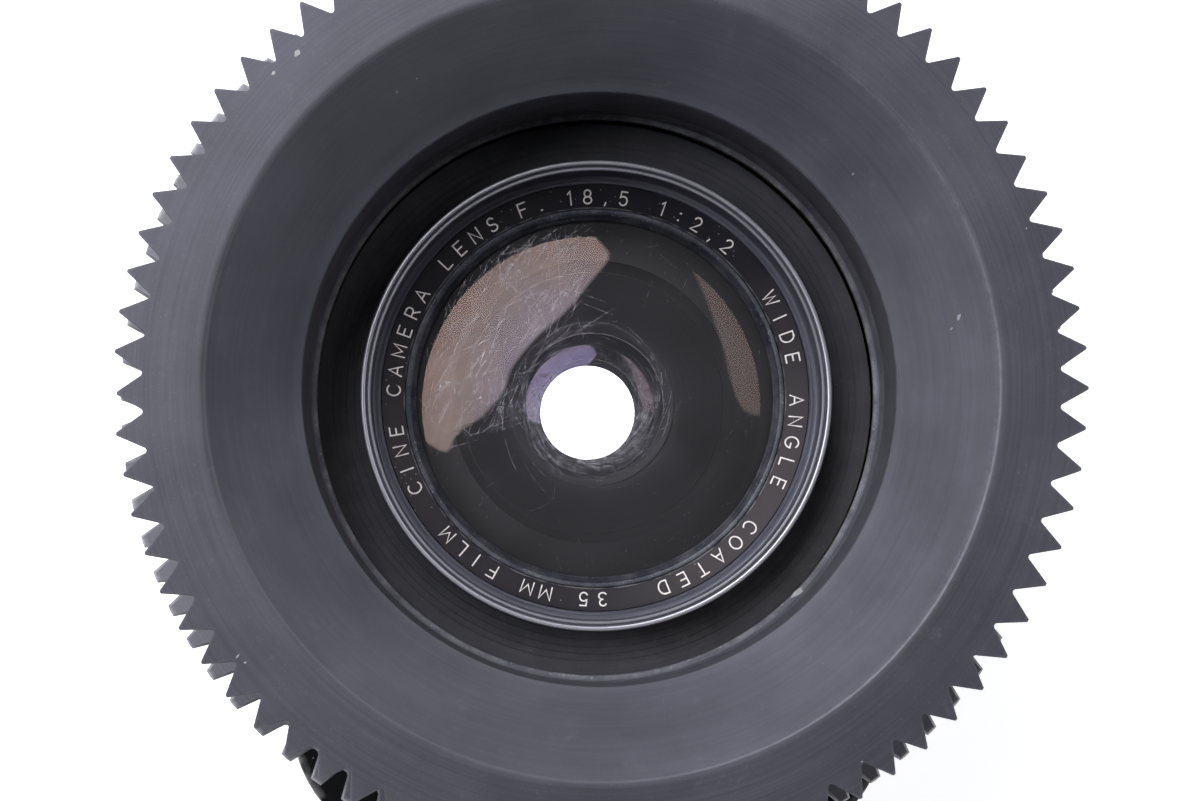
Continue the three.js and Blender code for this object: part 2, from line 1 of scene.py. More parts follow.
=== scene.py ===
"""Looks of a wide-angle lens for a 35 mm film camera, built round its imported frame.

Profiles are [radius, depth] or [radius, depth, wear] in millimetres. A depth is measured back from
the front face, and the optical axis is Z. Every mesh is in metres and in the row frame.
"""

import json
import random
from math import acos, asin, atan2, copysign, cos, hypot, pi, radians, sin, sqrt

import bmesh
import bpy
import numpy as np
from mathutils import Matrix, Vector


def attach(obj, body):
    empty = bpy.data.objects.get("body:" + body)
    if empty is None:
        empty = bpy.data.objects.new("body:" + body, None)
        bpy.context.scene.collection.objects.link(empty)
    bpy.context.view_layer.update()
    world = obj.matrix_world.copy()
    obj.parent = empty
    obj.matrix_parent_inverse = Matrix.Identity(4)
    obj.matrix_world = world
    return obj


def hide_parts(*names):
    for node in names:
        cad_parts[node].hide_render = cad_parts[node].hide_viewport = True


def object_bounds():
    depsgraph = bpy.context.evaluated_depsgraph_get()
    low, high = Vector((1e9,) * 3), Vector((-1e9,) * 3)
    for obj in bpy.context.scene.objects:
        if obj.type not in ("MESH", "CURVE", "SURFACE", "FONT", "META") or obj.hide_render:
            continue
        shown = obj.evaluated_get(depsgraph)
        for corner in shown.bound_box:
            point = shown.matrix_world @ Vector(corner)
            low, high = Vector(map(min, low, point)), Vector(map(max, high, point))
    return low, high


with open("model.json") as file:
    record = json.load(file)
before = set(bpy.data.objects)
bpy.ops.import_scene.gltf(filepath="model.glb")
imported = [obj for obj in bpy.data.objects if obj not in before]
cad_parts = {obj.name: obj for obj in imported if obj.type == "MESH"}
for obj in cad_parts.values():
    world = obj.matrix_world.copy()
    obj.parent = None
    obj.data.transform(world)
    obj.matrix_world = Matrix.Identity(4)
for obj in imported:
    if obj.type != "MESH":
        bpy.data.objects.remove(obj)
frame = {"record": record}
BODY = {node: body for body, nodes in frame["record"]["behaviour"]["bodies"].items() for node in nodes}
SLOT = {part["node"]: part["material_slot"] for part in frame["record"]["subparts"]}
cad_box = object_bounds()
MM = 0.001
FRONT = cad_box[1].z
TURN = 2 * pi
SMALL, SIDES, MANY = 96, 192, 256  # steps round a turned piece
GLASS_POLE, GLASS_CURVE = 21.3, 58.0  # the front glass: depth of its pole, radius of curvature
CONE_MOUTH, CONE_THROAT = (31.3, 0.22), (24.6, 9.0)  # ends of the hood's cone, radius and depth
HOOD_EDGE = 31.45  # where its finish gives way to the face's, over the lip
RECESS_FLOOR = 23.6  # depth
FOCUS_DRUM, IRIS_DRUM = 35.2, 35.6  # radii of the two engraved rings
FLANGE = 34.1  # radius of the circle of plate screws
STOP_PIN = 31.5  # radius of the focus stop pin, which stands at 200 degrees
DRIVE_PIN = 300  # degrees at which the iris drive pin stands
PIVOTS = 12.2  # radius of the circle of blade pivots
BLADES = 10
SPACING = 0.28  # between engraved characters, in heights
LAMP_HEIGHT = 0.545  # metres
rng = random.Random(7)


# ---- camera
def make_camera():
    """A camera 192 mm ahead of the front face, a little off the axis."""
    data = bpy.data.cameras.new("camera")
    data.sensor_width = 36
    data.lens = 73.26
    data.clip_start, data.clip_end = 0.01, 20
    camera = add_object("camera", data)
    forward = Vector((0.0333, 0.0591, -0.9977)).normalized()
    right = Vector((0.99944, 0, 0.03333)).normalized()
    up = right.cross(forward).normalized()
    turn = Matrix((right, up, -forward)).transposed().to_4x4()
    camera.matrix_world = Matrix.Translation((-0.00675, -0.01296, 0.25795)) @ turn
    bpy.context.scene.camera = camera


# ---- shader helpers
class Shader:
    """A material's node tree, with short calls for the nodes that every finish needs."""

    def __init__(self, name, tree=None):
        if tree is None:
            self.material = bpy.data.materials.new(name)
            self.material.use_nodes = True
            tree = self.material.node_tree
        self.nodes, self.links = tree.nodes, tree.links
        self.nodes.clear()

    def node(self, kind, inputs=(), **settings):
        n = self.nodes.new("ShaderNode" + kind)
        for key, value in settings.items():
            setattr(n, key, value)
        for key, value in dict(inputs).items():
            self.put(n.inputs[key], value)
        return n

    def put(self, socket, value):
        if isinstance(value, bpy.types.NodeSocket):
            self.links.new(value, socket)
        elif isinstance(value, (tuple, list)) and socket.type == "RGBA":
            socket.default_value = (*value[:3], 1)
        else:
            socket.default_value = value

    def math(self, operation, a, b=0.0, clamp=False):
        return self.node("Math", {0: a, 1: b}, operation=operation, use_clamp=clamp).outputs[0]

    def times(self, a, b):
        return self.math("MULTIPLY", a, b)

    def plus(self, a, b):
        return self.math("ADD", a, b)

    def mix(self, share, a, b):
        n = self.node("Mix", data_type="RGBA")
        self.put(n.inputs["Factor"], share)
        self.put(n.inputs[6], a)
        self.put(n.inputs[7], b)
        return n.outputs[2]

    def ramp(self, value, *stops):
        """Colours or greys, each (position, colour), along a value."""
        n = self.node("ValToRGB", {0: value})
        elements = n.color_ramp.elements
        while len(elements) < len(stops):
            elements.new(0.5)
        for element, (at, colour) in zip(elements, stops):
            element.position = at
            element.color = (*(colour if isinstance(colour, tuple) else (colour,) * 3), 1)
        return n.outputs[0]

    def noise(self, vector, scale, detail=3.0, rough=0.5, w=None):
        n = self.node("TexNoise", {"Vector": vector, "Scale": scale, "Detail": detail, "Roughness": rough})
        if w is not None:
            n.noise_dimensions = "4D"
            self.put(n.inputs["W"], w)
        return n.outputs[0]

    def place(self):
        return self.node("TexCoord").outputs["Object"]

    def attribute(self, name):
        return self.node("Attribute", attribute_name=name).outputs["Fac"]

    def blend(self, share, a, b):
        """The node that mixes two shader nodes."""
        return self.node("MixShader", {0: share, 1: a.outputs[0], 2: b.outputs[0]})

    def out(self, shader):
        self.node("OutputMaterial", {"Surface": shader.outputs[0]})
        return self.material

    def principled(self, inputs):
        return self.out(self.node("BsdfPrincipled", inputs))

    def polar(self, place):
        """A position's X and Y as a vector, their length, and X, Y and Z one by one."""
        xyz = self.node("SeparateXYZ", {0: place}).outputs
        flat = self.node("CombineXYZ", {0: xyz[0], 1: xyz[1]}).outputs[0]
        return flat, self.node("VectorMath", {0: flat}, operation="LENGTH").outputs["Value"], xyz

    def turning(self, place, pitch, reach=2.2):
        """Fine marks of a lathe: noise that hardly changes along a circle round the axis."""
        flat, radius, xyz = self.polar(place)
        around = self.node("VectorMath", {0: flat}, operation="NORMALIZE").outputs[0]
        around = self.node("SeparateXYZ", {0: around}).outputs
        fine = 1 / (pitch * MM)
        vector = self.node("CombineXYZ", {
            0: self.times(around[0], reach), 1: self.times(around[1], reach), 2: self.times(radius, fine),
        }).outputs[0]
        return self.noise(vector, 1.0, 2.0, 0.6, w=self.times(xyz[2], fine))

    def specks(self, place, scale, size, mask):
        """Scattered dots, each a small part of a cell, kept where the mask is high."""
        cells = self.node("TexVoronoi", {"Vector": place, "Scale": scale, "Randomness": 1.0})
        near = self.math("LESS_THAN", cells.outputs["Distance"], size)
        chosen = self.node("SeparateColor", {0: cells.outputs["Color"]}).outputs[0]
        return self.times(near, self.math("GREATER_THAN", self.times(chosen, mask), 0.5))


def coated_metal(name, base, light, bare, rough, metallic, marks=0.5, pitch=0.16, wear=0.8,
                 dust=0.0, lines=0.35, relief=3e-6, patchy=0.36):
    """Turned metal under a thin dark finish: lathe marks, cloudy tone, rubbed edges and dust."""
    s = Shader(name)
    place = s.place()
    turning = s.turning(place, pitch)
    cloud = s.noise(place, 85.0, 4.0, 0.6)
    grain = s.noise(place, 5200.0, 2.0, 0.6)
    tone = s.plus(s.times(turning, marks), s.times(cloud, 1 - marks))
    colour = s.mix(s.ramp(tone, (0.34, 0.0), (0.68, 1.0)), base, light)
    speckle = s.ramp(grain, (0.62, 0.0), (0.78, 1.0))
    colour = s.mix(s.times(speckle, 0.16), colour, bare)
    handled = s.ramp(s.noise(place, 330.0, 6.0, 0.8), (0.60, 0.0), (0.80, lines))
    edge = s.attribute("wear")
    chipping = s.ramp(s.noise(place, 900.0, 4.0, 0.7), (patchy, 0.0), (patchy + 0.2, 1.0))
    rubbed = s.times(s.times(edge, chipping), wear)
    rubbed = s.math("MAXIMUM", rubbed, handled)
    colour = s.mix(rubbed, colour, bare)
    if dust > 0:
        lying = s.attribute("dust")
        settled = s.ramp(s.noise(place, 420.0, 5.0, 0.75), (0.42, 0.0), (0.75, 1.0))
        dots = s.specks(place, 2600.0, 0.24, s.times(lying, 0.8))
        veil = s.times(s.times(settled, lying), dust)
        colour = s.mix(s.math("MAXIMUM", veil, s.times(dots, dust)), colour, (0.36, 0.36, 0.37))
    roughness = s.plus(s.times(tone, 0.22), rough - 0.11)
    roughness = s.math("SUBTRACT", roughness, s.times(rubbed, 0.12), clamp=True)
    height = s.plus(turning, s.times(grain, 0.15))
    bump = s.node("Bump", {"Height": height, "Strength": 1.0, "Distance": relief})
    return s.principled({
        "Base Color": colour, "Roughness": roughness, "Metallic": metallic,
        "Normal": bump.outputs[0],
    })


def lacquer(name, base, light, rough, dust=0.3, coat=0.35, shine=0.5, sheen=(1.0, 1.0, 1.0)):
    """Smooth stoved paint with faint orange peel, handling marks and stray dust."""
    s = Shader(name)
    place = s.place()
    peel = s.noise(place, 900.0, 2.0, 0.5)
    cloud = s.noise(place, 120.0, 5.0, 0.6)
    colour = s.mix(s.ramp(cloud, (0.4, 0.0), (0.7, 1.0)), base, light)
    edge = s.times(s.attribute("wear"), s.ramp(s.noise(place, 800.0, 4.0), (0.4, 0.0), (0.6, 0.7)))
    dots = s.specks(place, 2300.0, 0.2, s.plus(s.noise(place, 90.0), 0.05))
    colour = s.mix(s.math("MAXIMUM", edge, s.times(dots, dust)), colour, (0.4, 0.39, 0.38))
    roughness = s.plus(s.times(cloud, 0.16), rough - 0.06)
    bump = s.node("Bump", {"Height": peel, "Strength": 1.0, "Distance": 1.5e-6})
    return s.principled({
        "Base Color": colour, "Roughness": roughness, "Metallic": 0.0,
        "Normal": bump.outputs[0], "Coat Weight": coat, "Coat Roughness": 0.06,
        "Specular IOR Level": shine, "Specular Tint": (*sheen, 1.0),
    })


def paint(name, base, stain, rough=0.55):
    """Filler paint in an engraving: chalky, a little stained."""
    s = Shader(name)
    place = s.place()
    blot = s.noise(place, 2600.0, 4.0, 0.7)
    colour = s.mix(s.ramp(blot, (0.45, 0.0), (0.75, 1.0)), base, stain)
    return s.principled({
        "Base Color": colour, "Roughness": s.plus(s.times(blot, 0.2), rough - 0.1),
    })


def coated_glass(name, middle, half, rim, reach, ior, haze=0.0, swirl=0.0, right=None, bends=False):
    """Lens glass that lets sight straight through. Its coating, thinner towards the rim, tints what
    it mirrors, and dust and fine marks haze it, most round the middle by swirl. reach is the rim's
    radius in mm, and right is the tint on the +X side."""
    s = Shader(name)
    place = s.place()
    cloud = s.noise(place, 210.0, 5.0, 0.65)
    _, radius, xyz = s.polar(place)
    out = s.math("DIVIDE", radius, reach * MM)
    drift = s.plus(out, s.times(s.math("SUBTRACT", cloud, 0.5), 0.3))
    tint = s.ramp(drift, (0.35, middle), (0.72, half), (1.0, rim))
    if right:
        across = s.math("DIVIDE", xyz[0], reach * MM)
        tint = s.mix(s.ramp(across, (0.0, 0.0), (0.45, 1.0)), tint, right)
    fresnel = s.node("Fresnel", {"IOR": ior}).outputs[0]
    share = s.math("MULTIPLY", fresnel, s.plus(s.times(cloud, 0.4), 0.8), clamp=True)
    through = s.node("BsdfRefraction" if bends else "BsdfTransparent", {"Color": (1.0, 1.0, 1.0)})
    if bends:
        through.inputs["IOR"].default_value = 1.0
        through.inputs["Roughness"].default_value = 0.0
    shown = s.blend(share, through, s.node("BsdfGlossy", {"Color": tint, "Roughness": 0.0}))
    if haze > 0:
        grime = s.ramp(s.noise(place, 95.0, 6.0, 0.7), (0.3, 0.6 * haze), (0.75, 1.5 * haze))
        low = s.math("SUBTRACT", s.times(xyz[0], -0.4), xyz[1])
        side = s.ramp(s.math("DIVIDE", low, reach * MM), (-0.2, 0.12), (0.2, 1.0))
        ring = s.ramp(out, (0.21, swirl), (0.30, 0.42 * swirl), (0.42, 0.1 * swirl), (0.6, 0.0))
        film = s.node("BsdfDiffuse", {"Color": (0.74, 0.74, 0.80)})
        shown = s.blend(s.plus(grime, s.times(ring, side)), shown, film)
    return s.out(shown)


def bare_glass(name):
    """A bloomed inner surface that mirrors next to nothing."""
    s = Shader(name)
    haze = s.noise(s.place(), 260.0, 4.0, 0.6)
    tint = s.ramp(haze, (0.4, (0.05, 0.03, 0.08)), (0.7, (0.09, 0.05, 0.12)))
    lit = s.node("LayerWeight", {"Blend": 0.2}).outputs["Fresnel"]
    mirror = s.node("BsdfGlossy", {"Color": tint, "Roughness": 0.04})
    return s.out(s.blend(lit, s.node("BsdfTransparent", {"Color": (1.0, 1.0, 1.0)}), mirror))


def glow(name, colour, strength):
    """A lamp's diffuser, as bright at each point as its lit attribute."""
    s = Shader(name)
    power = s.times(s.attribute("lit"), strength)
    return s.out(s.node("Emission", {"Color": colour, "Strength": power}))


GREY = coated_metal("anodised_grey", (0.064, 0.062, 0.076), (0.108, 0.106, 0.128), (0.34, 0.34, 0.36),
                    0.44, 0.35, marks=0.42, wear=0.5, lines=0.22)
# On the hood's lip and throat this finish shows wear that is a painted highlight, kept to their right.
HOOD = coated_metal("hood_grey", (0.092, 0.092, 0.110), (0.148, 0.149, 0.174), (0.34, 0.34, 0.36),
                    0.5, 0.25, marks=0.3, pitch=0.3, wear=0.6, lines=0.2)
DARK = coated_metal("anodised_dark", (0.13, 0.13, 0.145), (0.22, 0.22, 0.24), (0.44, 0.43, 0.44),
                    0.44, 0.3, marks=0.4, wear=0.7)
MATTE = coated_metal("matte_black", (0.054, 0.054, 0.066), (0.080, 0.080, 0.094), (0.14, 0.14, 0.15),
                     0.6, 0.0, marks=0.6, pitch=0.22, wear=0.5, dust=0.6, lines=0.1)
CELL = coated_metal("cell_black", (0.015, 0.014, 0.0145), (0.027, 0.0245, 0.025), (0.05, 0.05, 0.055),
                    0.55, 0.0, marks=0.6, pitch=0.3, wear=0.3, dust=0.1, lines=0.03, relief=4e-6)
RINGS = coated_metal("engraved_black", (0.018, 0.018, 0.020), (0.034, 0.034, 0.038), (0.36, 0.35, 0.34),
                     0.42, 0.2, marks=0.4, wear=0.7, dust=0.15, lines=0.3)
BRIGHT = coated_metal("bright_rim", (0.10, 0.10, 0.125), (0.17, 0.17, 0.20), (0.58, 0.57, 0.60),
                      0.38, 0.5, marks=0.8, pitch=0.14, wear=0.95, dust=0.05, lines=0.1,
                      relief=2e-6, patchy=0.16)
BLUED = coated_metal("blued_metal", (0.014, 0.016, 0.023), (0.030, 0.034, 0.046), (0.22, 0.23, 0.26),
                     0.46, 0.2, marks=0.6, pitch=0.12, wear=0.55, dust=0.4, lines=0.1)
BLADE = coated_metal("blade_steel", (0.045, 0.046, 0.052), (0.085, 0.086, 0.095), (0.4, 0.4, 0.4),
                     0.34, 0.7, marks=0.2, wear=0.5, lines=0.4, relief=1.5e-6)
BRASS = coated_metal("helicoid_brass", (0.36, 0.25, 0.10), (0.50, 0.36, 0.16), (0.66, 0.52, 0.28),
                     0.32, 0.95, marks=0.6, wear=0.7, lines=0.3)
STEEL = coated_metal("screw_steel", (0.22, 0.22, 0.23), (0.38, 0.38, 0.40), (0.7, 0.7, 0.7),
                     0.3, 0.9, marks=0.2, wear=0.8, lines=0.5)
ENAMEL = lacquer("black_enamel", (0.006, 0.006, 0.007), (0.011, 0.011, 0.013), 0.16)
NAME_BLACK = lacquer("name_ring_lacquer", (0.014, 0.014, 0.018), (0.024, 0.023, 0.027), 0.42, dust=0.3,
                     coat=0.0, shine=0.26, sheen=(1.0, 0.86, 0.84))
CREAM = paint("cream_filler", (0.84, 0.79, 0.75), (0.60, 0.54, 0.49))
CHIP = paint("bare_chip", (0.42, 0.42, 0.40), (0.26, 0.26, 0.25), 0.45)
DUST = paint("dust_speck", (0.50, 0.50, 0.48), (0.30, 0.30, 0.28), 0.8)
FRONT_GLASS = coated_glass("front_coating", (0.80, 0.68, 0.82), (0.85, 0.63, 0.56), (0.85, 0.54, 0.40),
                           16.5, 1.55, haze=0.034, swirl=0.13)
INNER_GLASS = coated_glass("inner_coating", (0.58, 0.50, 0.98), (0.74, 0.62, 1.0), (0.9, 0.68, 0.9),
                           7.0, 1.56, haze=0.006, right=(1.0, 0.66, 0.74))
REAR_GLASS = coated_glass("rear_coating", (0.35, 0.5, 0.85), (0.5, 0.45, 0.85), (0.6, 0.5, 0.6), 8.5, 1.4,
                          bends=True)
BLOOMED = bare_glass("bloomed_surface")
GLASS_EDGE = lacquer("glass_edge_black", (0.006, 0.006, 0.007), (0.012, 0.012, 0.013), 0.5, dust=0.1)


# ---- mesh helpers
def add_object(name, data):
    made = bpy.data.objects.new(name, data)
    bpy.context.scene.collection.objects.link(made)
    return made


def new_mesh(name, verts, faces):
    mesh = bpy.data.meshes.new(name)
    mesh.from_pydata([tuple(v) for v in verts], [], faces)
    return mesh


def reshape(mesh, change=None):
    """Runs change(work) on a mesh, if one is given, and turns its faces outwards."""
    work = bmesh.new()
    work.from_mesh(mesh)
    if change:
        change(work)
    bmesh.ops.recalc_face_normals(work, faces=work.faces)
    work.to_mesh(mesh)
    work.free()


def smooth(mesh, sharp=32.0):
    mesh.shade_smooth()
    mesh.set_sharp_from_angle(angle=radians(sharp))


def store(mesh, label, values):
    """Keeps a number for each vertex, zero without values, for the materials to read."""
    layer = mesh.attributes.new(label, "FLOAT", "POINT")
    if values is not None:
        layer.data.foreach_set("value", np.asarray(values, np.float32))


def add_piece(name, verts, faces, body, slot, materials, wear=None, dust=None, face_material=None,
              sharp=40.0):
    """A mesh piece that rides on a body, with its wear and dust stored per vertex."""
    mesh = new_mesh(name, verts, faces)
    store(mesh, "wear", wear)
    store(mesh, "dust", dust)
    for material in materials:
        mesh.materials.append(material)
    if face_material is not None:
        mesh.polygons.foreach_set("material_index", face_material)
    reshape(mesh)
    smooth(mesh, sharp)
    obj = add_object(name, mesh)
    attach(obj, body)
    return obj


def stand_in(node, verts, faces, materials, wear=None, dust=None, face_material=None, sharp=32.0):
    """A fine piece in place of a CAD node, on the node's body."""
    made = add_piece(node + "_fine", verts, faces, BODY[node], SLOT[node], materials, wear, dust,
                     face_material, sharp)
    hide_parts(node)
    return made


def solid(node, shape, wear=0.0, material=None):
    """A stand-in of one closed shape, rubbed evenly, of steel unless another finish is given."""
    verts, faces = shape
    return stand_in(node, verts, faces, [material or STEEL], [wear] * len(verts))


def dressed(profile, chamfer, closed=True):
    """The profile as [radius, depth, wear], with its corners broken by small chamfers. Outer corners
    are rubbed bright, and a support loop each side keeps that wear narrow."""
    count = len(profile)
    area = sum(profile[i - 1][0] * profile[i][1] - profile[i][0] * profile[i - 1][1] for i in range(count))
    made = []
    for i, corner in enumerate(profile):
        p = Vector(corner[:2])
        own = corner[2] if len(corner) > 2 else 1.0
        if not closed and i in (0, count - 1):
            made.append((p.x, p.y, 0.0))
            continue
        before, after = Vector(profile[i - 1][:2]) - p, Vector(profile[(i + 1) % count][:2]) - p
        bend = pi - before.angle(after)
        if bend < radians(25):
            made.append((p.x, p.y, 0.0))
            continue
        outer = (before.x * after.y - before.y * after.x) * area < 0
        cut = min(chamfer, 0.3 * before.length, 0.3 * after.length)
        hold = min(2.2 * cut, 0.42 * before.length, 0.42 * after.length)
        rub = own if outer else 0.0
        for run, far, w in ((before, hold, 0.0), (before, cut, rub), (after, cut, rub), (after, hold, 0.0)):
            q = p + run.normalized() * far
            made.append((q.x, q.y, w))
    return made


def point(r, depth, angle):
    """A point in space, from its radius and depth in mm and its angle."""
    return Vector((r * cos(angle) * MM, r * sin(angle) * MM, FRONT - depth * MM))


def level(x, y, depth):
    """A point in space, from its place and depth in mm."""
    return Vector((x * MM, y * MM, FRONT - depth * MM))


class Rings:
    """Rings of vertices, with their wear, for a skin to join."""

    def __init__(self):
        self.verts, self.wear, self.rings = [], [], []

    def add(self, verts, wear=0.0):
        """Adds a ring. The wear is one number, or a list of one for each vertex."""
        self.rings.append(list(range(len(self.verts), len(self.verts) + len(verts))))
        self.verts += verts
        self.wear += wear if isinstance(wear, list) else [wear] * len(verts)


def skin(rings, closed=True):
    """Faces between successive rings of vertex numbers. A ring of one vertex is a pole."""
    faces, index = [], []
    pairs = list(zip(rings, rings[1:])) + ([(rings[-1], rings[0])] if closed else [])
    for number, (a, b) in enumerate(pairs):
        n = max(len(a), len(b))
        for i in range(n):
            j = (i + 1) % n
            if len(a) == 1:
                faces.append((a[0], b[i], b[j]))
            elif len(b) == 1:
                faces.append((a[i], a[j], b[0]))
            else:
                faces.append((a[i], a[j], b[j], b[i]))
            index.append(number)
    return faces, index


def lathe(profile, sides=SIDES, dusty=None):
    """A profile turned round the axis: vertices, faces, wear, dust and the profile step of each
    face. dusty(radius, depth) gives the dust."""
    made, dust = Rings(), []
    for r, depth, rub in ((*p, 0.0)[:3] for p in profile):
        count = sides if r > 1e-6 else 1
        made.add([point(r, depth, TURN * i / sides) for i in range(count)], rub)
        dust += [dusty(r, depth) if dusty else 0.0] * count
    faces, index = skin(made.rings, profile[0][0] > 1e-6)
    return made.verts, faces, made.wear, dust, index


def turned(node, material, profile, chamfer=0.15, sides=SIDES, cuts=(), dusty=None, ready=False):
    """A fine turned piece in place of a CAD node of the same profile. A ready profile already
    has its own chamfers and wear."""
    points = profile if ready else dressed(profile, chamfer)
    verts, faces, wear, dust, _ = lathe(points, sides, dusty)
    made = stand_in(node, verts, faces, [material], wear, dust)
    return carve(made, cuts) if cuts else made


def tube(inner, outer, front, back):
    """Profile of a plain ring."""
    return [(inner, front), (outer, front), (outer, back), (inner, back)]


def teeth(r, front, back, pitch, height):
    """Points of a small V thread or row of grooves on a bore of radius r, from front to back."""
    count = max(1, round((back - front) / pitch))
    step = (back - front) / count
    points = []
    for i in range(count):
        points += [(r, front + i * step), (r + height, front + (i + 0.5) * step)]
    return points + [(r, back)]


def carve(obj, cutters):
    """Cuts closed meshes, given as (vertices, faces), out of a piece."""
    tools = Batch()
    for shape in cutters:
        tools.add(shape)
    mesh = new_mesh("tool", tools.verts, tools.faces)
    reshape(mesh)
    tool = add_object("tool", mesh)
    change = obj.modifiers.new("cut", "BOOLEAN")
    change.operation, change.object, change.solver = "DIFFERENCE", tool, "EXACT"
    bpy.context.view_layer.update()
    evaluated = obj.evaluated_get(bpy.context.evaluated_depsgraph_get())
    made = bpy.data.meshes.new_from_object(evaluated)
    obj.modifiers.clear()
    old, obj.data = obj.data, made
    made.name = obj.name
    bpy.data.meshes.remove(old)
    bpy.data.objects.remove(tool)
    bpy.data.meshes.remove(mesh)
    made.set_sharp_from_angle(angle=radians(32))
    return obj


def rod(start, end, r, sides, chamfer):
    """A round bar between two points, in metres, as vertices and faces."""
    axis = (end - start).normalized()
    side = axis.orthogonal().normalized()
    other = axis.cross(side)
    length = (end - start).length
    stops = [(0, r), (length, r)]
    if chamfer:
        stops = [(0, r - chamfer), (chamfer, r), (length - chamfer, r), (length, r - chamfer)]
    made = Rings()
    made.add([start])
    for along, width in stops:
        angles = [TURN * i / sides for i in range(sides)]
        made.add([start + axis * along + (side * cos(a) + other * sin(a)) * width
                  for a in angles])
    made.add([start + axis * length])
    return made.verts, skin(made.rings, closed=False)[0]


def block(centre, half, turn=0.0):
    """A box as vertices and faces, turned about Z. All in metres."""
    turned_by = Matrix.Rotation(turn, 3, "Z")
    verts = [Vector(centre) + turned_by @ Vector((x * half[0], y * half[1], z * half[2]))
             for x in (-1, 1) for y in (-1, 1) for z in (-1, 1)]
    faces = [(0, 1, 3, 2), (4, 6, 7, 5), (0, 4, 5, 1), (2, 3, 7, 6), (0, 2, 6, 4), (1, 5, 7, 3)]
    return verts, faces


def prism(front, back):
    """A closed shape between two loops of as many points, as vertices and faces."""
    n = len(front)
    faces = [tuple(range(n)), tuple(range(2 * n - 1, n - 1, -1))]
    return front + back, faces + [(i, (i + 1) % n, n + (i + 1) % n, n + i) for i in range(n)]


def bar_sides(steps):
    """Side faces of a four-sided bar whose sections follow one another."""
    corners = [(4 * i + k, 4 * i + (k + 1) % 4) for i in range(steps) for k in range(4)]
    return [(a, b, b + 4, a + 4) for a, b in corners]


def sector(inner, outer, start, stop, front, back, steps=40):
    """Part of a ring between two angles in degrees, as vertices and faces."""
    verts = []
    for i in range(steps + 1):
        a = radians(start + (stop - start) * i / steps)
        verts += [point(r, d, a) for r, d in tube(inner, outer, front, back)]
    return verts, [(0, 1, 2, 3), tuple(4 * steps + k for k in (3, 2, 1, 0))] + bar_sides(steps)


def radial_rod(r, inner, outer, degrees, depth, sides=24, chamfer=0.0):
    """A round bar along a radius, in mm and degrees."""
    a = radians(degrees)
    return rod(point(inner, depth, a), point(outer, depth, a), r * MM, sides, chamfer * MM)


def axial_rod(r, front, back, at, degrees, sides=24, chamfer=0.0):
    """A round bar along the axis, at a radius, in mm and degrees."""
    a = radians(degrees)
    return rod(point(at, front, a), point(at, back, a), r * MM, sides, chamfer * MM)


# ---- toothed rings
def between(a, b, t):
    """The point a share t of the way from a to b, all of them [radius, angle]."""
    xa, ya = a[0] * cos(a[1]), a[0] * sin(a[1])
    xb, yb = b[0] * cos(b[1]), b[0] * sin(b[1])
    x, y = xa + (xb - xa) * t, ya + (yb - ya) * t
    return hypot(x, y), atan2(y, x)


def toothed_outline(count, tip, root, crest, valley, phase, nicks, low):
    """Outline points (x, y, wear) in mm of a toothed ring, star-shaped about the axis. Crests differ
    a little, as if filed by use, and valleys are rounded up to the share low of a flank."""
    outline = []
    pitch = TURN / count
    half_crest, half_valley = crest / 2 / tip, valley / 2 / root
    left, right = (root, -pitch / 2 + half_valley), (root, pitch / 2 - half_valley)
    for i in range(count):
        middle = radians(phase) + i * pitch
        lost = abs(rng.gauss(0, 0.05)) + (rng.uniform(0.1, 0.28) if rng.random() < nicks else 0.0)
        lean = rng.gauss(0, 0.035)
        peak = tip - min(lost, 0.4) * (0.6 if crest > 0.6 else 1.0)
        top_left, top_right = ((peak - 0.03, side * half_crest + lean / tip) for side in (-1, 1))
        points = [(root - 0.02, -pitch / 2, 0.0), (*between((root - 0.01, -pitch / 2), left, 0.6), 0.0)]
        points += [(*between(left, top_left, t), w)
                   for t, w in ((low * 0.35, 0.0), (low, 0.1), (0.55, 0.2), (0.86, 0.7))]
        points += [(*top_left, 1.0), (peak, lean / tip, 1.0), (*top_right, 1.0)]
        points += [(*between(top_right, right, t), w)
                   for t, w in ((0.14, 0.7), (0.45, 0.2), (1 - low, 0.1), (1 - low * 0.35, 0.0))]
        points.append((*between(right, (root - 0.01, pitch / 2), 0.4), 0.0))
        outline += [(r * cos(middle + a), r * sin(middle + a), w) for r, a, w in points]
    return outline


def inset(outline, by):
    """The outline moved inwards by a distance, as (x, y) points."""
    made, n = [], len(outline)
    for i in range(n):
        a, p, b = (Vector(outline[k % n][:2]) for k in (i - 1, i, i + 1))
        along = ((p - a).normalized() + (b - p).normalized()).normalized()
        made.append(p + Vector((-along.y, along.x)) * by)
    return made


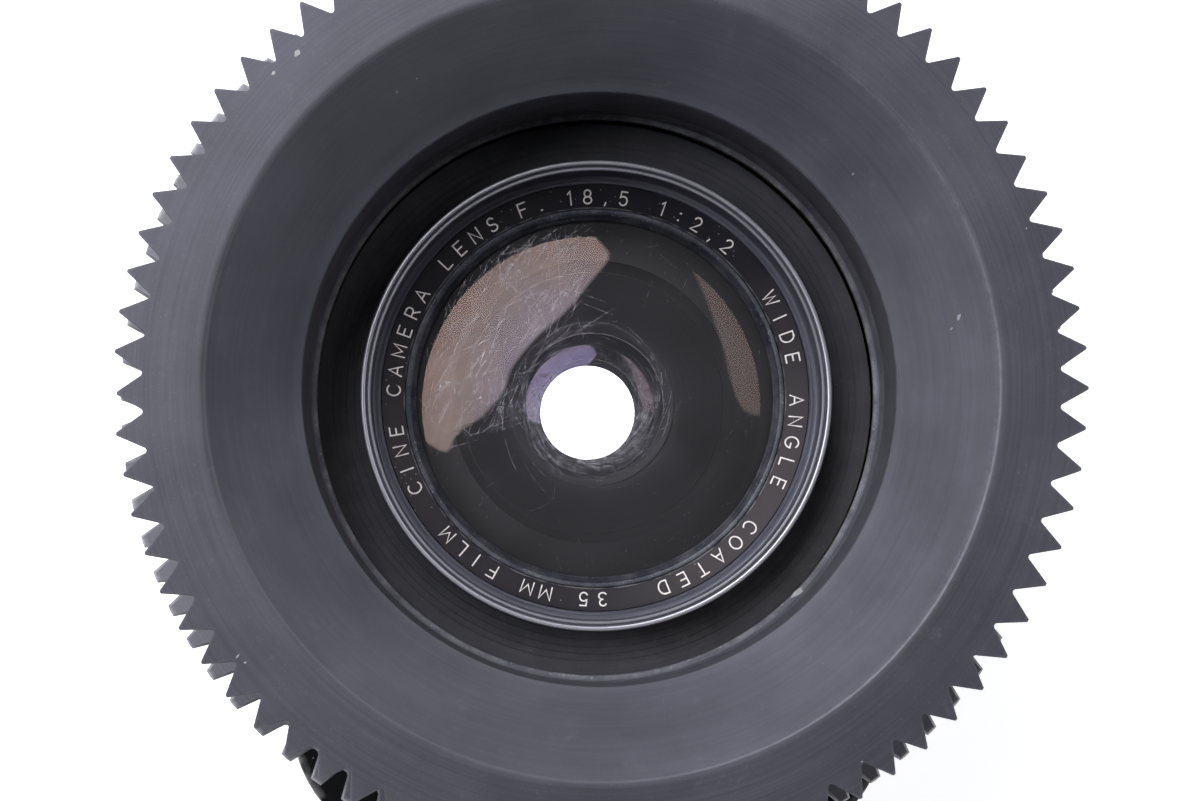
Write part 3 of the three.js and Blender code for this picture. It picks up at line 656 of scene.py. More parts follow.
def toothed_ring(node, materials, outline, front, back, inner, chamfer, rub, painted_highlight=None):
    """A toothed ring: its outline between two depths, joined to an inner profile that runs from the
    back face round to the front face. A function of the angle, if given, scales the inner profile's
    wear into a painted highlight on one side, and the second material, if any, covers the cone within
    the throat and the lip."""
    angles = [atan2(y, x) for x, y, _ in outline]
    whole = [(x, y) for x, y, _ in outline]
    small = [tuple(p) for p in inset(outline, chamfer)]
    held = [(x * (1 - 0.35 / hypot(x, y)), y * (1 - 0.35 / hypot(x, y))) for x, y in small]
    worn = [rub * (0.15 + 0.85 * w) for _, _, w in outline]
    faint = [0.3 * w for w in worn]
    made = Rings()
    for points, depth, wear in ((held, front, 0.0), (small, front, worn), (whole, front + chamfer, worn),
                                (whole, front + 3 * chamfer, faint), (whole, back - 2 * chamfer, faint),
                                (whole, back - chamfer, worn), (small, back, worn)):
        made.add([level(x, y, depth) for x, y in points], wear)
    for r, depth, edge in ((*p, 0.0)[:3] for p in inner):
        made.add([point(r, depth, a) for a in angles], [edge * (painted_highlight(a) if painted_highlight else 1.0) for a in angles])
    faces, _ = skin(made.rings)
    on_hood = [int(all(made.verts[v].xy.length < HOOD_EDGE * MM for v in f)) for f in faces]
    stand_in(node, made.verts, faces, materials, made.wear,
             face_material=on_hood if len(materials) > 1 else None)


def lip_painted_highlight(angle):
    """Painted highlight: the hood's mouth and throat keep their edge wear only round the right, where the
    lip catches the light.
    """
    away = abs((angle - radians(10) + pi) % (2 * pi) - pi)
    return max(0.0, cos(away / 1.5)) ** 2


def on_cone(r):
    """Depth of the hood's cone at a radius."""
    (r1, d1), (r2, d2) = CONE_MOUTH, CONE_THROAT
    return d1 + (r1 - r) / (r1 - r2) * (d2 - d1)


def front_ring():
    outline = toothed_outline(75, 38.5, 36.3, 0.26, 0.3, -0.8, 0.12, 0.1)
    inner = [(33.4, 9.0), (24.8, 9.0), (24.62, 8.98, 0.3), (24.62, 8.8)]
    for i in range(1, 12):
        r = CONE_THROAT[0] + (CONE_MOUTH[0] - CONE_THROAT[0]) * i / 12
        inner.append((r, on_cone(r)))
    inner += [(31.1, on_cone(31.1), 0.1), (31.24, 0.28, 0.3), (31.34, 0.14, 0.3), (31.44, 0.04, 0.3),
              (31.54, 0.0, 0.1), (32.0, 0.0), (32.7, 0.0), (34.0, 0.0), (35.3, 0.0)]
    # The wear on the lip and the throat edge is scaled by angle into a painted highlight, lightest at the
    # right.
    toothed_ring("focus_gear_ring", [GREY, HOOD], outline, 0.0, 9.0,
                 inner, 0.06, 0.4, lip_painted_highlight)


def rear_ring():
    outline = toothed_outline(80, 41.0, 38.8, 1.05, 0.7, 0.0, 0.06, 0.25)
    inner = [(33.1, 26.8), (32.8, 26.7, 0.6), (32.8, 26.4), (32.8, 19.2), (32.8, 18.9, 0.6),
             (33.1, 18.8), (35.0, 18.8), (37.6, 18.8)]
    # Its rub of 0.8, twice the front ring's, is partly tooth wear and partly painted light that lightens
    # teeth shaded by the front ring.
    toothed_ring("iris_gear_ring", [DARK], outline, 18.8, 26.8, inner, 0.2, 0.8)


# ---- engraved characters
def bow(cx, cy, rx, ry, start, stop, steps=10):
    """Points along part of an ellipse, between two angles in degrees."""
    span = [radians(start + (stop - start) * i / steps) for i in range(steps + 1)]
    return [(cx + rx * cos(a), cy + ry * sin(a)) for a in span]


GLYPHS = {
    "A": (0.80, [[(0, 0), (0.4, 1), (0.8, 0)], [(0.14, 0.34), (0.66, 0.34)]]),
    "C": (0.78, [bow(0.46, 0.5, 0.44, 0.5, 48, 312, 16)]),
    "D": (0.72, [[(0, 0), (0, 1), (0.3, 1)] + bow(0.3, 0.5, 0.42, 0.5, 90, -90) + [(0, 0)]]),
    "E": (0.60, [[(0.6, 1), (0, 1), (0, 0), (0.6, 0)], [(0, 0.52), (0.5, 0.52)]]),
    "F": (0.60, [[(0.6, 1), (0, 1), (0, 0)], [(0, 0.52), (0.5, 0.52)]]),
    "G": (0.86, [bow(0.46, 0.5, 0.44, 0.5, 48, 330, 16) + [(0.88, 0.44), (0.52, 0.44)]]),
    "I": (0.06, [[(0.03, 0), (0.03, 1)]]),
    "L": (0.56, [[(0, 1), (0, 0), (0.56, 0)]]),
    "M": (0.84, [[(0, 0), (0, 1), (0.42, 0.25), (0.84, 1), (0.84, 0)]]),
    "N": (0.70, [[(0, 0), (0, 1), (0.7, 0), (0.7, 1)]]),
    "O": (0.88, [bow(0.44, 0.5, 0.44, 0.5, 0, 360, 24)]),
    "R": (0.66, [[(0, 0), (0, 1), (0.34, 1)] + bow(0.34, 0.73, 0.28, 0.27, 90, -90) + [(0, 0.46)],
                 [(0.34, 0.46), (0.66, 0)]]),
    "S": (0.62, [bow(0.31, 0.745, 0.27, 0.255, 28, 270) + bow(0.31, 0.245, 0.31, 0.245, 90, -152)]),
    "T": (0.70, [[(0, 1), (0.7, 1)], [(0.35, 1), (0.35, 0)]]),
    "W": (0.96, [[(0, 1), (0.24, 0), (0.48, 0.9), (0.72, 0), (0.96, 1)]]),
    "1": (0.24, [[(0, 0.8), (0.2, 1), (0.2, 0)]]),
    "2": (0.62, [bow(0.31, 0.72, 0.28, 0.28, 165, -35) + [(0, 0), (0.62, 0)]]),
    "3": (0.60, [bow(0.29, 0.755, 0.26, 0.245, 150, -90), bow(0.29, 0.255, 0.31, 0.255, 90, -150)]),
    "4": (0.66, [[(0.5, 0), (0.5, 1), (0, 0.3), (0.66, 0.3)]]),
    "5": (0.60, [[(0.55, 1), (0.1, 1), (0.04, 0.56)] + bow(0.29, 0.33, 0.31, 0.33, 128, -150)]),
    "6": (0.62, [bow(0.31, 0.3, 0.3, 0.3, 0, 360, 18), [(0.02, 0.36), (0.13, 0.74), (0.44, 1)]]),
    "8": (0.62, [bow(0.31, 0.75, 0.25, 0.25, 0, 360, 16), bow(0.31, 0.255, 0.31, 0.255, 0, 360, 18)]),
    "0": (0.62, [bow(0.31, 0.5, 0.31, 0.5, 0, 360, 20)]),
    ".": (0.08, [[(0.0, 0.04), (0.08, 0.04)]]),
    ",": (0.10, [[(0.08, 0.08), (0.0, -0.14)]]),
    ":": (0.08, [[(0.0, 0.12), (0.08, 0.12)], [(0.0, 0.66), (0.08, 0.66)]]),
    "~": (1.30, [bow(0.3, 0.45, 0.3, 0.26, 20, 340, 14) + bow(1.0, 0.45, 0.3, 0.26, 200, 520, 14)]),
    " ": (0.45, []),
}


def line_prism(points, width, place, low=-0.04, high=0.02):
    """A closed thin bar of the given width along 2-D points, with rounded ends. place(u, v, h) puts a
    point in space, h above the surface."""
    pts = [Vector(p) for p in points]
    loop = (pts[0] - pts[-1]).length < 1e-6
    half = width / 2
    stations = []
    n = len(pts)
    for i, p in enumerate(pts):
        before = p - pts[i - 1] if i else (pts[-1] - pts[-2] if loop else pts[1] - p)
        after = pts[i + 1] - p if i < n - 1 else (pts[1] - pts[0] if loop else p - pts[-2])
        a, b = before.normalized(), after.normalized()
        along = (a + b).normalized() if (a + b).length > 1e-6 else a
        stretch = min(1.6, 1 / max(0.4, along.dot(a)))
        stations.append((p, Vector((-along.y, along.x)) * half * stretch))
    if not loop:
        caps = []
        for (p, side), sign in ((stations[0], -1), (stations[-1], 1)):
            along = Vector((side.y, -side.x)).normalized() * sign
            caps.append([(p + along * half * sin(t), side * cos(t)) for t in (0.6, 1.15)])
        stations = caps[0][::-1] + stations + caps[1]
    verts = []
    for p, side in stations:
        for q, h in ((p + side, high), (p - side, high), (p - side, low), (p + side, low)):
            verts.append(place(q.x, q.y, h))
    faces = bar_sides(len(stations) - 1)
    if loop:
        verts = verts[:-4]
        faces = [tuple(v % len(verts) for v in f) for f in faces]
    else:
        last = 4 * (len(stations) - 1)
        faces += [(3, 2, 1, 0), (last, last + 1, last + 2, last + 3)]
    return verts, faces


class Batch:
    """Many small closed shapes that make up one piece."""

    def __init__(self):
        self.verts, self.faces = [], []

    def add(self, shape):
        verts, faces = shape
        self.faces += [tuple(i + len(self.verts) for i in f) for f in faces]
        self.verts += verts

    def piece(self, name, body, slot, material):
        add_piece(name, self.verts, self.faces, body, slot, [material])


def write(batch, text, size, width, place):
    """Adds a centred line of characters to a batch. place(u, v, h) takes millimetres."""
    at = -(sum(GLYPHS[c][0] + SPACING for c in text) - SPACING) / 2
    for c in text:
        advance, strokes = GLYPHS[c]
        for stroke in strokes:
            batch.add(line_prism([((at + x) * size, y * size) for x, y in stroke], width, place))
        at += advance + SPACING


def on_name_ring(start):
    """Places characters on the name ring's slope, from an angle in degrees and clockwise."""
    def place(u, v, h):
        r = 17.12 + v
        depth = 21.2 + (18.7 - r) / 1.9 * 0.9
        return point(r, depth - h, radians(start) - u / 17.7)
    return place


def on_drum(radius, depth, degrees):
    """Places characters on a drum, read with the front face up."""
    def place(u, v, h):
        return point(radius + h, depth - v, radians(degrees) + u / radius)
    return place


def name_ring():
    profile = [(18.66, 21.21, 0.05), (18.7, 21.24, 0.3), (18.7, 21.4), (18.7, 23.7), (16.8, 23.7),
               (16.7, 23.4), (16.7, 22.24, 0.2), (16.72, 22.17, 0.5), (16.79, 22.12, 0.5), (16.83, 22.09),
               (17.0, 22.01), (17.6, 21.73), (18.2, 21.44), (18.6, 21.25)]
    turned("name_ring", NAME_BLACK, profile, sides=MANY, ready=True)
    letters = Batch()
    for text, first, last in (("CINE CAMERA LENS", 207, 121), ("F.", 111.3, 106), ("18,5", 97.5, 82),
                              ("1:2,2", 70.5, 49), ("WIDE ANGLE", 29.5, -25), ("COATED", -40, -70.5),
                              ("35 MM FILM", -88, -137)):
        for i, c in enumerate(text):
            degrees = first + (last - first) * i / (len(text) - 1)
            write(letters, c, 1.13, 0.128, on_name_ring(degrees))
    letters.piece("name_ring_lettering", "optical_block", "engraved_black", CREAM)


# ---- focus ring group
def set_screws(ring, ring_r, depth):
    """Three slotted screws sunk in an engraved ring."""
    for i in range(3):
        node = f"{ring}_screw_{i + 1}"
        a = radians(30 + 120 * i)
        verts, faces = radial_rod(0.95, ring_r - 2.4, ring_r - 0.3, 30 + 120 * i, depth, 32, 0.12)
        wear = [1.0 if k % 3 else 0.4 for k in range(len(verts))]
        made = stand_in(node, verts, faces, [STEEL], wear)
        carve(made, [block(point(ring_r - 0.3, depth, a), (0.45 * MM, 0.14 * MM, 2 * MM), a)])


def recess_dust(r, depth):
    """Dust on the recess wall, most on the lip near its floor."""
    if r < 24.5 and depth > 19:
        return 1.0
    return 0.35 if r < 25 and depth > 15 else 0.12


def focus_group():
    front_ring()
    wall = [(24.6, 9.3), (27.6, 9.3), (27.6, 20.3), (24.2, 20.3), (24.2, 19.75), (24.75, 19.6)]
    wall += teeth(24.6, 16.2, 19.3, 0.78, 0.14)[::-1]
    turned("hood_sleeve", MATTE, wall, 0.1, dusty=recess_dust)
    cuts = [radial_rod(1.1, 32.5, 36.2, 30 + 120 * i, 11.5) for i in range(3)]
    cuts.append(sector(30.3, 32.7, 27, 203, 13.3, 16.4, 60))
    turned("distance_ring", RINGS, tube(27.9, FOCUS_DRUM, 9.3, 15.4), 0.18,
           cuts=cuts)
    set_screws("distance_ring", FOCUS_DRUM, 11.5)
    nut = [(27.6, 20.6), (27.6, 40.5), (24.9, 40.5)]
    nut += teeth(24.9, 20.9, 40.2, 0.9, 0.3)[::-1] + [(24.9, 20.6)]
    turned("helicoid_nut", BRASS, nut, 0.12, SMALL)
    scale = Batch()
    for text, turn in (("~", 0), ("5", 22), ("3", 42), ("2", 64), ("1,5", 86), ("1", 110), ("0,8", 132),
                       ("0,6", 152), ("0,5", 170)):
        write(scale, text, 1.5, 0.17, on_drum(FOCUS_DRUM, 13.7, 90 - turn))
        scale.add(line_prism([(0, 0), (0, 0.75)], 0.15, on_drum(FOCUS_DRUM, 15.1, 90 - turn)))
    for text, turn in (("20", 13), ("10", 37), ("6", 60), ("4", 98), ("3", 121), ("2", 161)):
        write(scale, text, 1.1, 0.14, on_drum(FOCUS_DRUM, 11.2, 90 - turn))
    for text, depth in (("M", 13.5), ("FT", 11.2)):
        write(scale, text, 1.1, 0.14, on_drum(FOCUS_DRUM, depth, 100))
    scale.piece("distance_scale_figures", "focus_ring", "engraved_black", CREAM)


# ---- iris ring group
def iris_ring_group():
    rear_ring()
    holes = [radial_rod(1.1, 32.9, 36.4, 30 + 120 * i, 29.5) for i in range(3)]
    holes.append(radial_rod(1.15, 32.0, 36.4, DRIVE_PIN, 29.5))
    turned("aperture_ring", RINGS, tube(32.8, IRIS_DRUM, 27.1, 32.0), 0.2,
           cuts=holes)
    set_screws("aperture_ring", IRIS_DRUM, 29.5)
    pin = solid("iris_drive_pin", radial_rod(1.0, 29.5, 35.3, DRIVE_PIN, 29.5, 32, 0.12), 0.6)
    a = radians(DRIVE_PIN)
    carve(pin, [block(point(35.3, 29.5, a), (0.5 * MM, 0.15 * MM, 2 * MM), a)])
    turned("iris_drive_sleeve", BRASS, tube(28.1, 29.2, 28.0, 48.5), 0.12,
           SMALL, cuts=[sector(27, 30.3, 297.4, 302.6, 40.9, 49.5, 2)])
    stops = Batch()
    for i, text in enumerate(("2,2", "2,8", "4", "5,6", "8", "11", "16")):
        turn = 85 * i / 6
        write(stops, text, 1.5, 0.17, on_drum(IRIS_DRUM, 30.6, 90 - turn))
        stops.add(line_prism([(0, 0), (0, 0.7)], 0.15, on_drum(IRIS_DRUM, 31.75, 90 - turn)))
    stops.piece("aperture_scale_figures", "iris_ring", "engraved_black", CREAM)


# ---- fixed mount group
def flange_holes(front, back):
    """Cutters for the four plate screws."""
    return [axial_rod(1.2, front, back, FLANGE, 45 + 90 * i) for i in range(4)]


def mount_plate():
    """The plate's outline is star-shaped about the axis: a disc with a rounded lug below."""
    edge = acos(27.7 / 39.0)
    outline = [(39 * cos(a), 39 * sin(a)) for a in np.linspace(-edge, pi + edge, 120)]
    for side, first in ((-1, pi), (1, 1.5 * pi)):
        outline += [(side * 15.7 + 12 * cos(first + t), -29.0 + 12 * sin(first + t))
                    for t in np.linspace(0, pi / 2, 14)]
        if side < 0:
            outline += [(-15.7 + 31.4 * t, -41.0) for t in np.linspace(0.08, 0.92, 10)]
    made = Rings()
    for by, depth, rub in ((0.9, 36.0, 0.0), (0.28, 36.0, 0.6), (0.09, 36.08, 0.9), (0.0, 36.28, 0.9),
                           (0.0, 36.7, 0.0), (0.0, 39.3, 0.0), (0.0, 39.72, 0.6), (0.09, 39.92, 0.6),
                           (0.28, 40.0, 0.4), (0.9, 40.0, 0.0)):
        made.add([level(x, y, depth) for x, y in inset(outline, by)], rub)
    for r, depth, rub in ((30.1, 40.0, 0.0), (29.8, 39.8, 0.4), (29.8, 36.2, 0.4), (30.1, 36.0, 0.0)):
        made.add([point(r, depth, atan2(y, x)) for x, y in outline], rub)
    plate = stand_in("mount_plate", made.verts, skin(made.rings)[0], [ENAMEL], made.wear)
    carve(plate, flange_holes(35, 41) + [axial_rod(1.55, 38.0, 41.0, 38.2, 270)])


def plate_screw(number):
    """A slotted cheese-head screw through the flanges and the plate."""
    angle = radians(45 + 90 * (number - 1))
    spine = [(0, 44.8), (0.9, 44.8), (1.45, 44.78), (1.7, 44.55), (1.7, 43.6), (0.9, 43.6), (0.9, 33.95),
             (0.75, 33.8), (0, 33.8)]
    verts, faces, wear, dust, _ = lathe(dressed(spine, 0.06, closed=False), 40)
    shift = Vector((FLANGE * cos(angle) * MM, FLANGE * sin(angle) * MM, 0))
    node = f"plate_screw_{number}"
    made = stand_in(node, [v + shift for v in verts], faces, [STEEL], wear, dust)
    turn = angle + rng.uniform(0, 3)
    carve(made, [block(point(FLANGE, 44.8, angle), (2 * MM, 0.2 * MM, 0.55 * MM), turn)])


def mount_group():
    turned("index_ring", RINGS, tube(27.9, 35.8, 15.8, 18.4), 0.18,
           cuts=[axial_rod(1.2, 15.0, 17.3, STOP_PIN, 200)])
    solid("focus_stop_pin", axial_rod(0.9, 13.6, 17.0, STOP_PIN, 200, 28, 0.15), 0.7)
    barrel = [(29.6, 18.7), (32.5, 18.7), (32.5, 32.4), (36, 32.4), (36, 35.7), (29.6, 35.7)]
    slot_cut = sector(28.6, 32.65, 297, 388, 28.2, 30.8, 48)
    turned("fixed_barrel", DARK, barrel, 0.2,
           cuts=[slot_cut] + flange_holes(33.5, 36.5))
    mount_plate()
    housing = [(29.6, 40.3), (36, 40.3), (36, 43.3), (31.9, 43.3), (31.9, 52.5), (21, 52.5), (21, 66),
               (17.6, 66), (17.6, 50), (29.6, 50)]
    turned("rear_housing", MATTE, housing, 0.25, cuts=flange_holes(40, 44.3))
    marks = Batch()
    marks.add(line_prism([(0, 0.1), (0, 2.3)], 0.2, on_drum(35.8, 18.2, 90)))
    marks.add(line_prism([(0, 0.3), (0, 3.0)], 0.2, on_drum(36.0, 35.7, 90)))
    marks.piece("index_lines", "mount", "engraved_black", CREAM)
    for i in range(4):
        plate_screw(i + 1)
    key = solid("guide_key", block(level(0, 16.35, 56.5), (1.4 * MM, 0.95 * MM, 3 * MM)), material=BRASS)
    reshape(key.data, lambda work: bmesh.ops.bevel(work, geom=list(work.edges), offset=0.12 * MM,
                                                   segments=3, profile=0.6, affect="EDGES"))
    solid("locating_pin", axial_rod(1.25, 38.3, 42.5, 38.2, 270, 32, 0.25), 0.6)


# ---- optical block
def cap(pole, curve, r, steps):
    """Profile points of a spherical surface from the axis out to r."""
    edge = asin(r / abs(curve))
    return [(abs(curve) * sin(a), pole + copysign(abs(curve) * (1 - cos(a)), curve))
            for a in (edge * i / steps for i in range(steps + 1))]


def element(node, edge_r, front, rear, coats, sides=SIDES, steps=28):
    """A glass element with a blackened ground edge. Its front and rear surfaces are given by pole
    and curvature, and by a radius where one stops short of the edge."""
    face, back = (cap(*(*surface, edge_r)[:3], steps) for surface in (front, rear))
    rim = [(edge_r, curve[-1][1]) for surface, curve in ((front, face), (rear, back)) if len(surface) > 2]
    verts, faces, wear, dust, index = lathe(face + rim + back[::-1], sides)
    material = [0 if i < len(face) - 1 else (1 if i < len(face) + len(rim) else 2) for i in index]
    stand_in(node, verts, faces, [coats[0], GLASS_EDGE, coats[1]], wear, dust, material, sharp=12.0)


def on_front_glass(u, v, h):
    """A point h above the front glass, all in mm."""
    depth = GLASS_POLE + GLASS_CURVE - sqrt(GLASS_CURVE ** 2 - (u * u + v * v))
    return level(u, v, depth - h)


def scratches():
    """Cleaning marks on the front glass: long hairlines over its left side and a tight swirl
    round the middle."""
    s = Shader("polish_scratch")
    fleck = s.noise(s.place(), 1500.0, 3.0)
    colour = s.mix(fleck, (0.66, 0.64, 0.74), (0.95, 0.92, 0.93))
    alpha = s.ramp(fleck, (0.35, 0.08), (0.7, 0.5))
    material = s.principled({
        "Base Color": colour, "Roughness": 0.4, "Metallic": 0.3, "Alpha": alpha,
    })
    batch = Batch()

    def hair(r, a, heading, length, curl, width, x=0.0, y=0.0):
        """A hairline of up to six steps, from a radius and an angle about (x, y)."""
        steps, pts = 6, []
        x, y = x + r * cos(a), y + r * sin(a)
        for _ in range(steps + 1):
            if hypot(x, y) > 15.6:
                break
            pts.append((x, y))
            x, y = x + cos(heading) * length / steps, y + sin(heading) * length / steps
            heading += curl / steps
        if len(pts) > 2:
            batch.add(line_prism(pts, width, on_front_glass, -0.004, 0.004))

    for _ in range(430):
        a, r = radians(rng.uniform(100, 200)), 15.4 * sqrt(rng.uniform(0.12, 1))
        hair(r, a, radians(rng.gauss(62, 34)), rng.uniform(0.8, 4.0), rng.gauss(0, 0.1),
             rng.uniform(0.012, 0.022))
    for _ in range(620):
        a, r = radians(rng.gauss(245, 62)), 3.5 + abs(rng.gauss(0, 1.5))
        length = rng.uniform(1.2, 5.0)
        heading = a + pi / 2 + rng.gauss(0, 0.16)
        hair(r, a, heading, length, length / r * rng.uniform(0.6, 1.1), rng.uniform(0.008, 0.018),
             -0.2, -0.3)
    for _ in range(90):
        a, r = rng.uniform(0, TURN), 15.2 * sqrt(rng.random())
        hair(r, a, rng.uniform(0, 6.3), rng.uniform(0.5, 3.0), rng.gauss(0, 0.2), rng.uniform(0.006, 0.012))
    batch.piece("front_glass_scratches", "optical_block", "coated_glass", material)


def speck(centre, size, normal):
    """A tiny uneven pebble lying on a surface."""
    n = Vector(normal).normalized()
    side = n.orthogonal().normalized()
    other = n.cross(side)
    spin = rng.uniform(0, 6.3)
    verts = []
    for i in range(6):
        a = spin + i * pi / 3
        reach = size * rng.uniform(0.6, 1.15)
        verts.append(centre + (side * cos(a) + other * sin(a)) * reach * MM)
    verts += [centre + n * size * 0.5 * MM, centre - n * size * 0.3 * MM]
    faces = [(i, (i + 1) % 6, 6) for i in range(6)] + [((i + 1) % 6, i, 7) for i in range(6)]
    return verts, faces


def dust():
    """Grains on the recess wall and its lip, the recess floor and the keeper of the front glass."""
    up = (0, 0, 1)
    sleeve, inside = Batch(), Batch()
    for _ in range(330):
        a = rng.uniform(0, TURN)
        size = rng.choice((0.02, 0.025, 0.03, 0.03, 0.045))
        if rng.random() < 0.65:
            sleeve.add(speck(point(rng.uniform(24.25, 24.6), 19.72, a), size, up))
        else:
            sleeve.add(speck(point(24.58, rng.uniform(10, 16), a), size, (-cos(a), -sin(a), 0)))
    for _ in range(150):
        a = rng.uniform(0, TURN)
        size = rng.choice((0.012, 0.015, 0.02, 0.035))
        inside.add(speck(point(rng.uniform(20.9, 24.4), RECESS_FLOOR - 0.02, a), size, up))
    for _ in range(300):
        a = rng.uniform(0, TURN)
        size = rng.choice((0.012, 0.015, 0.02, 0.03))
        r = rng.choice((rng.uniform(15.85, 16.45), rng.uniform(16.3, 16.6)))
        inside.add(speck(point(r, 22.3 + max(0.0, 16.25 - r) * 1.7, a), size, up))
    sleeve.piece("recess_dust", "focus_ring", "matte_black", DUST)
    inside.piece("block_dust", "optical_block", "matte_black", DUST)


def flake(spot, batch, depth_at):
    """A chip in the finish: an uneven flat flake given by place, size, squash and turn, on a surface
    of depth_at(radius)."""
    x, y, size, squash, turn = spot
    outline = []
    for i in range(11):
        a = TURN * i / 11
        reach = size * rng.uniform(0.65, 1.1)
        u, v = reach * cos(a), reach * sin(a) * squash
        outline.append((x + u * cos(turn) - v * sin(turn),
                        y + u * sin(turn) + v * cos(turn)))
    sunk, proud = ([level(px, py, depth_at(hypot(px, py)) - h) for px, py in outline]
                   for h in (-0.02, 0.008))
    batch.add(prism(sunk, proud))


def chips():
    """Chips on the flat face, on the cone and on the lip of the recess."""
    batch = Batch()
    for depth_at, spots in (
        (lambda r: 0.0, ((-24.3, 25.9, 0.34, 0.7, 0.6), (-26.2, 24.3, 0.2, 0.7, 0.9),
                         (-28.6, -21.6, 0.22, 0.4, 0.9), (-28.0, -22.1, 0.12, 0.6, 0.2),
                         (33.6, 12.2, 0.1, 0.5, 1.2), (20.2, -29.9, 0.1, 0.6, 0.2))),
        (on_cone, ((28.7, 5.4, 0.3, 0.35, 1.3), (28.2, 4.5, 0.14, 0.5, 1.0), (-16.6, 23.5, 0.14, 0.6, 0.7),
                   (-15.0, 24.6, 0.1, 0.6, 0.3), (20.6, 17.4, 0.12, 0.5, 0.9))),
        (lambda r: 19.6, ((17.4, -17.1, 0.75, 0.35, 0.6),)),
    ):
        for spot in spots:
            flake(spot, batch, depth_at)
    batch.piece("hood_chips", "focus_ring", "grey_anodised", CHIP)


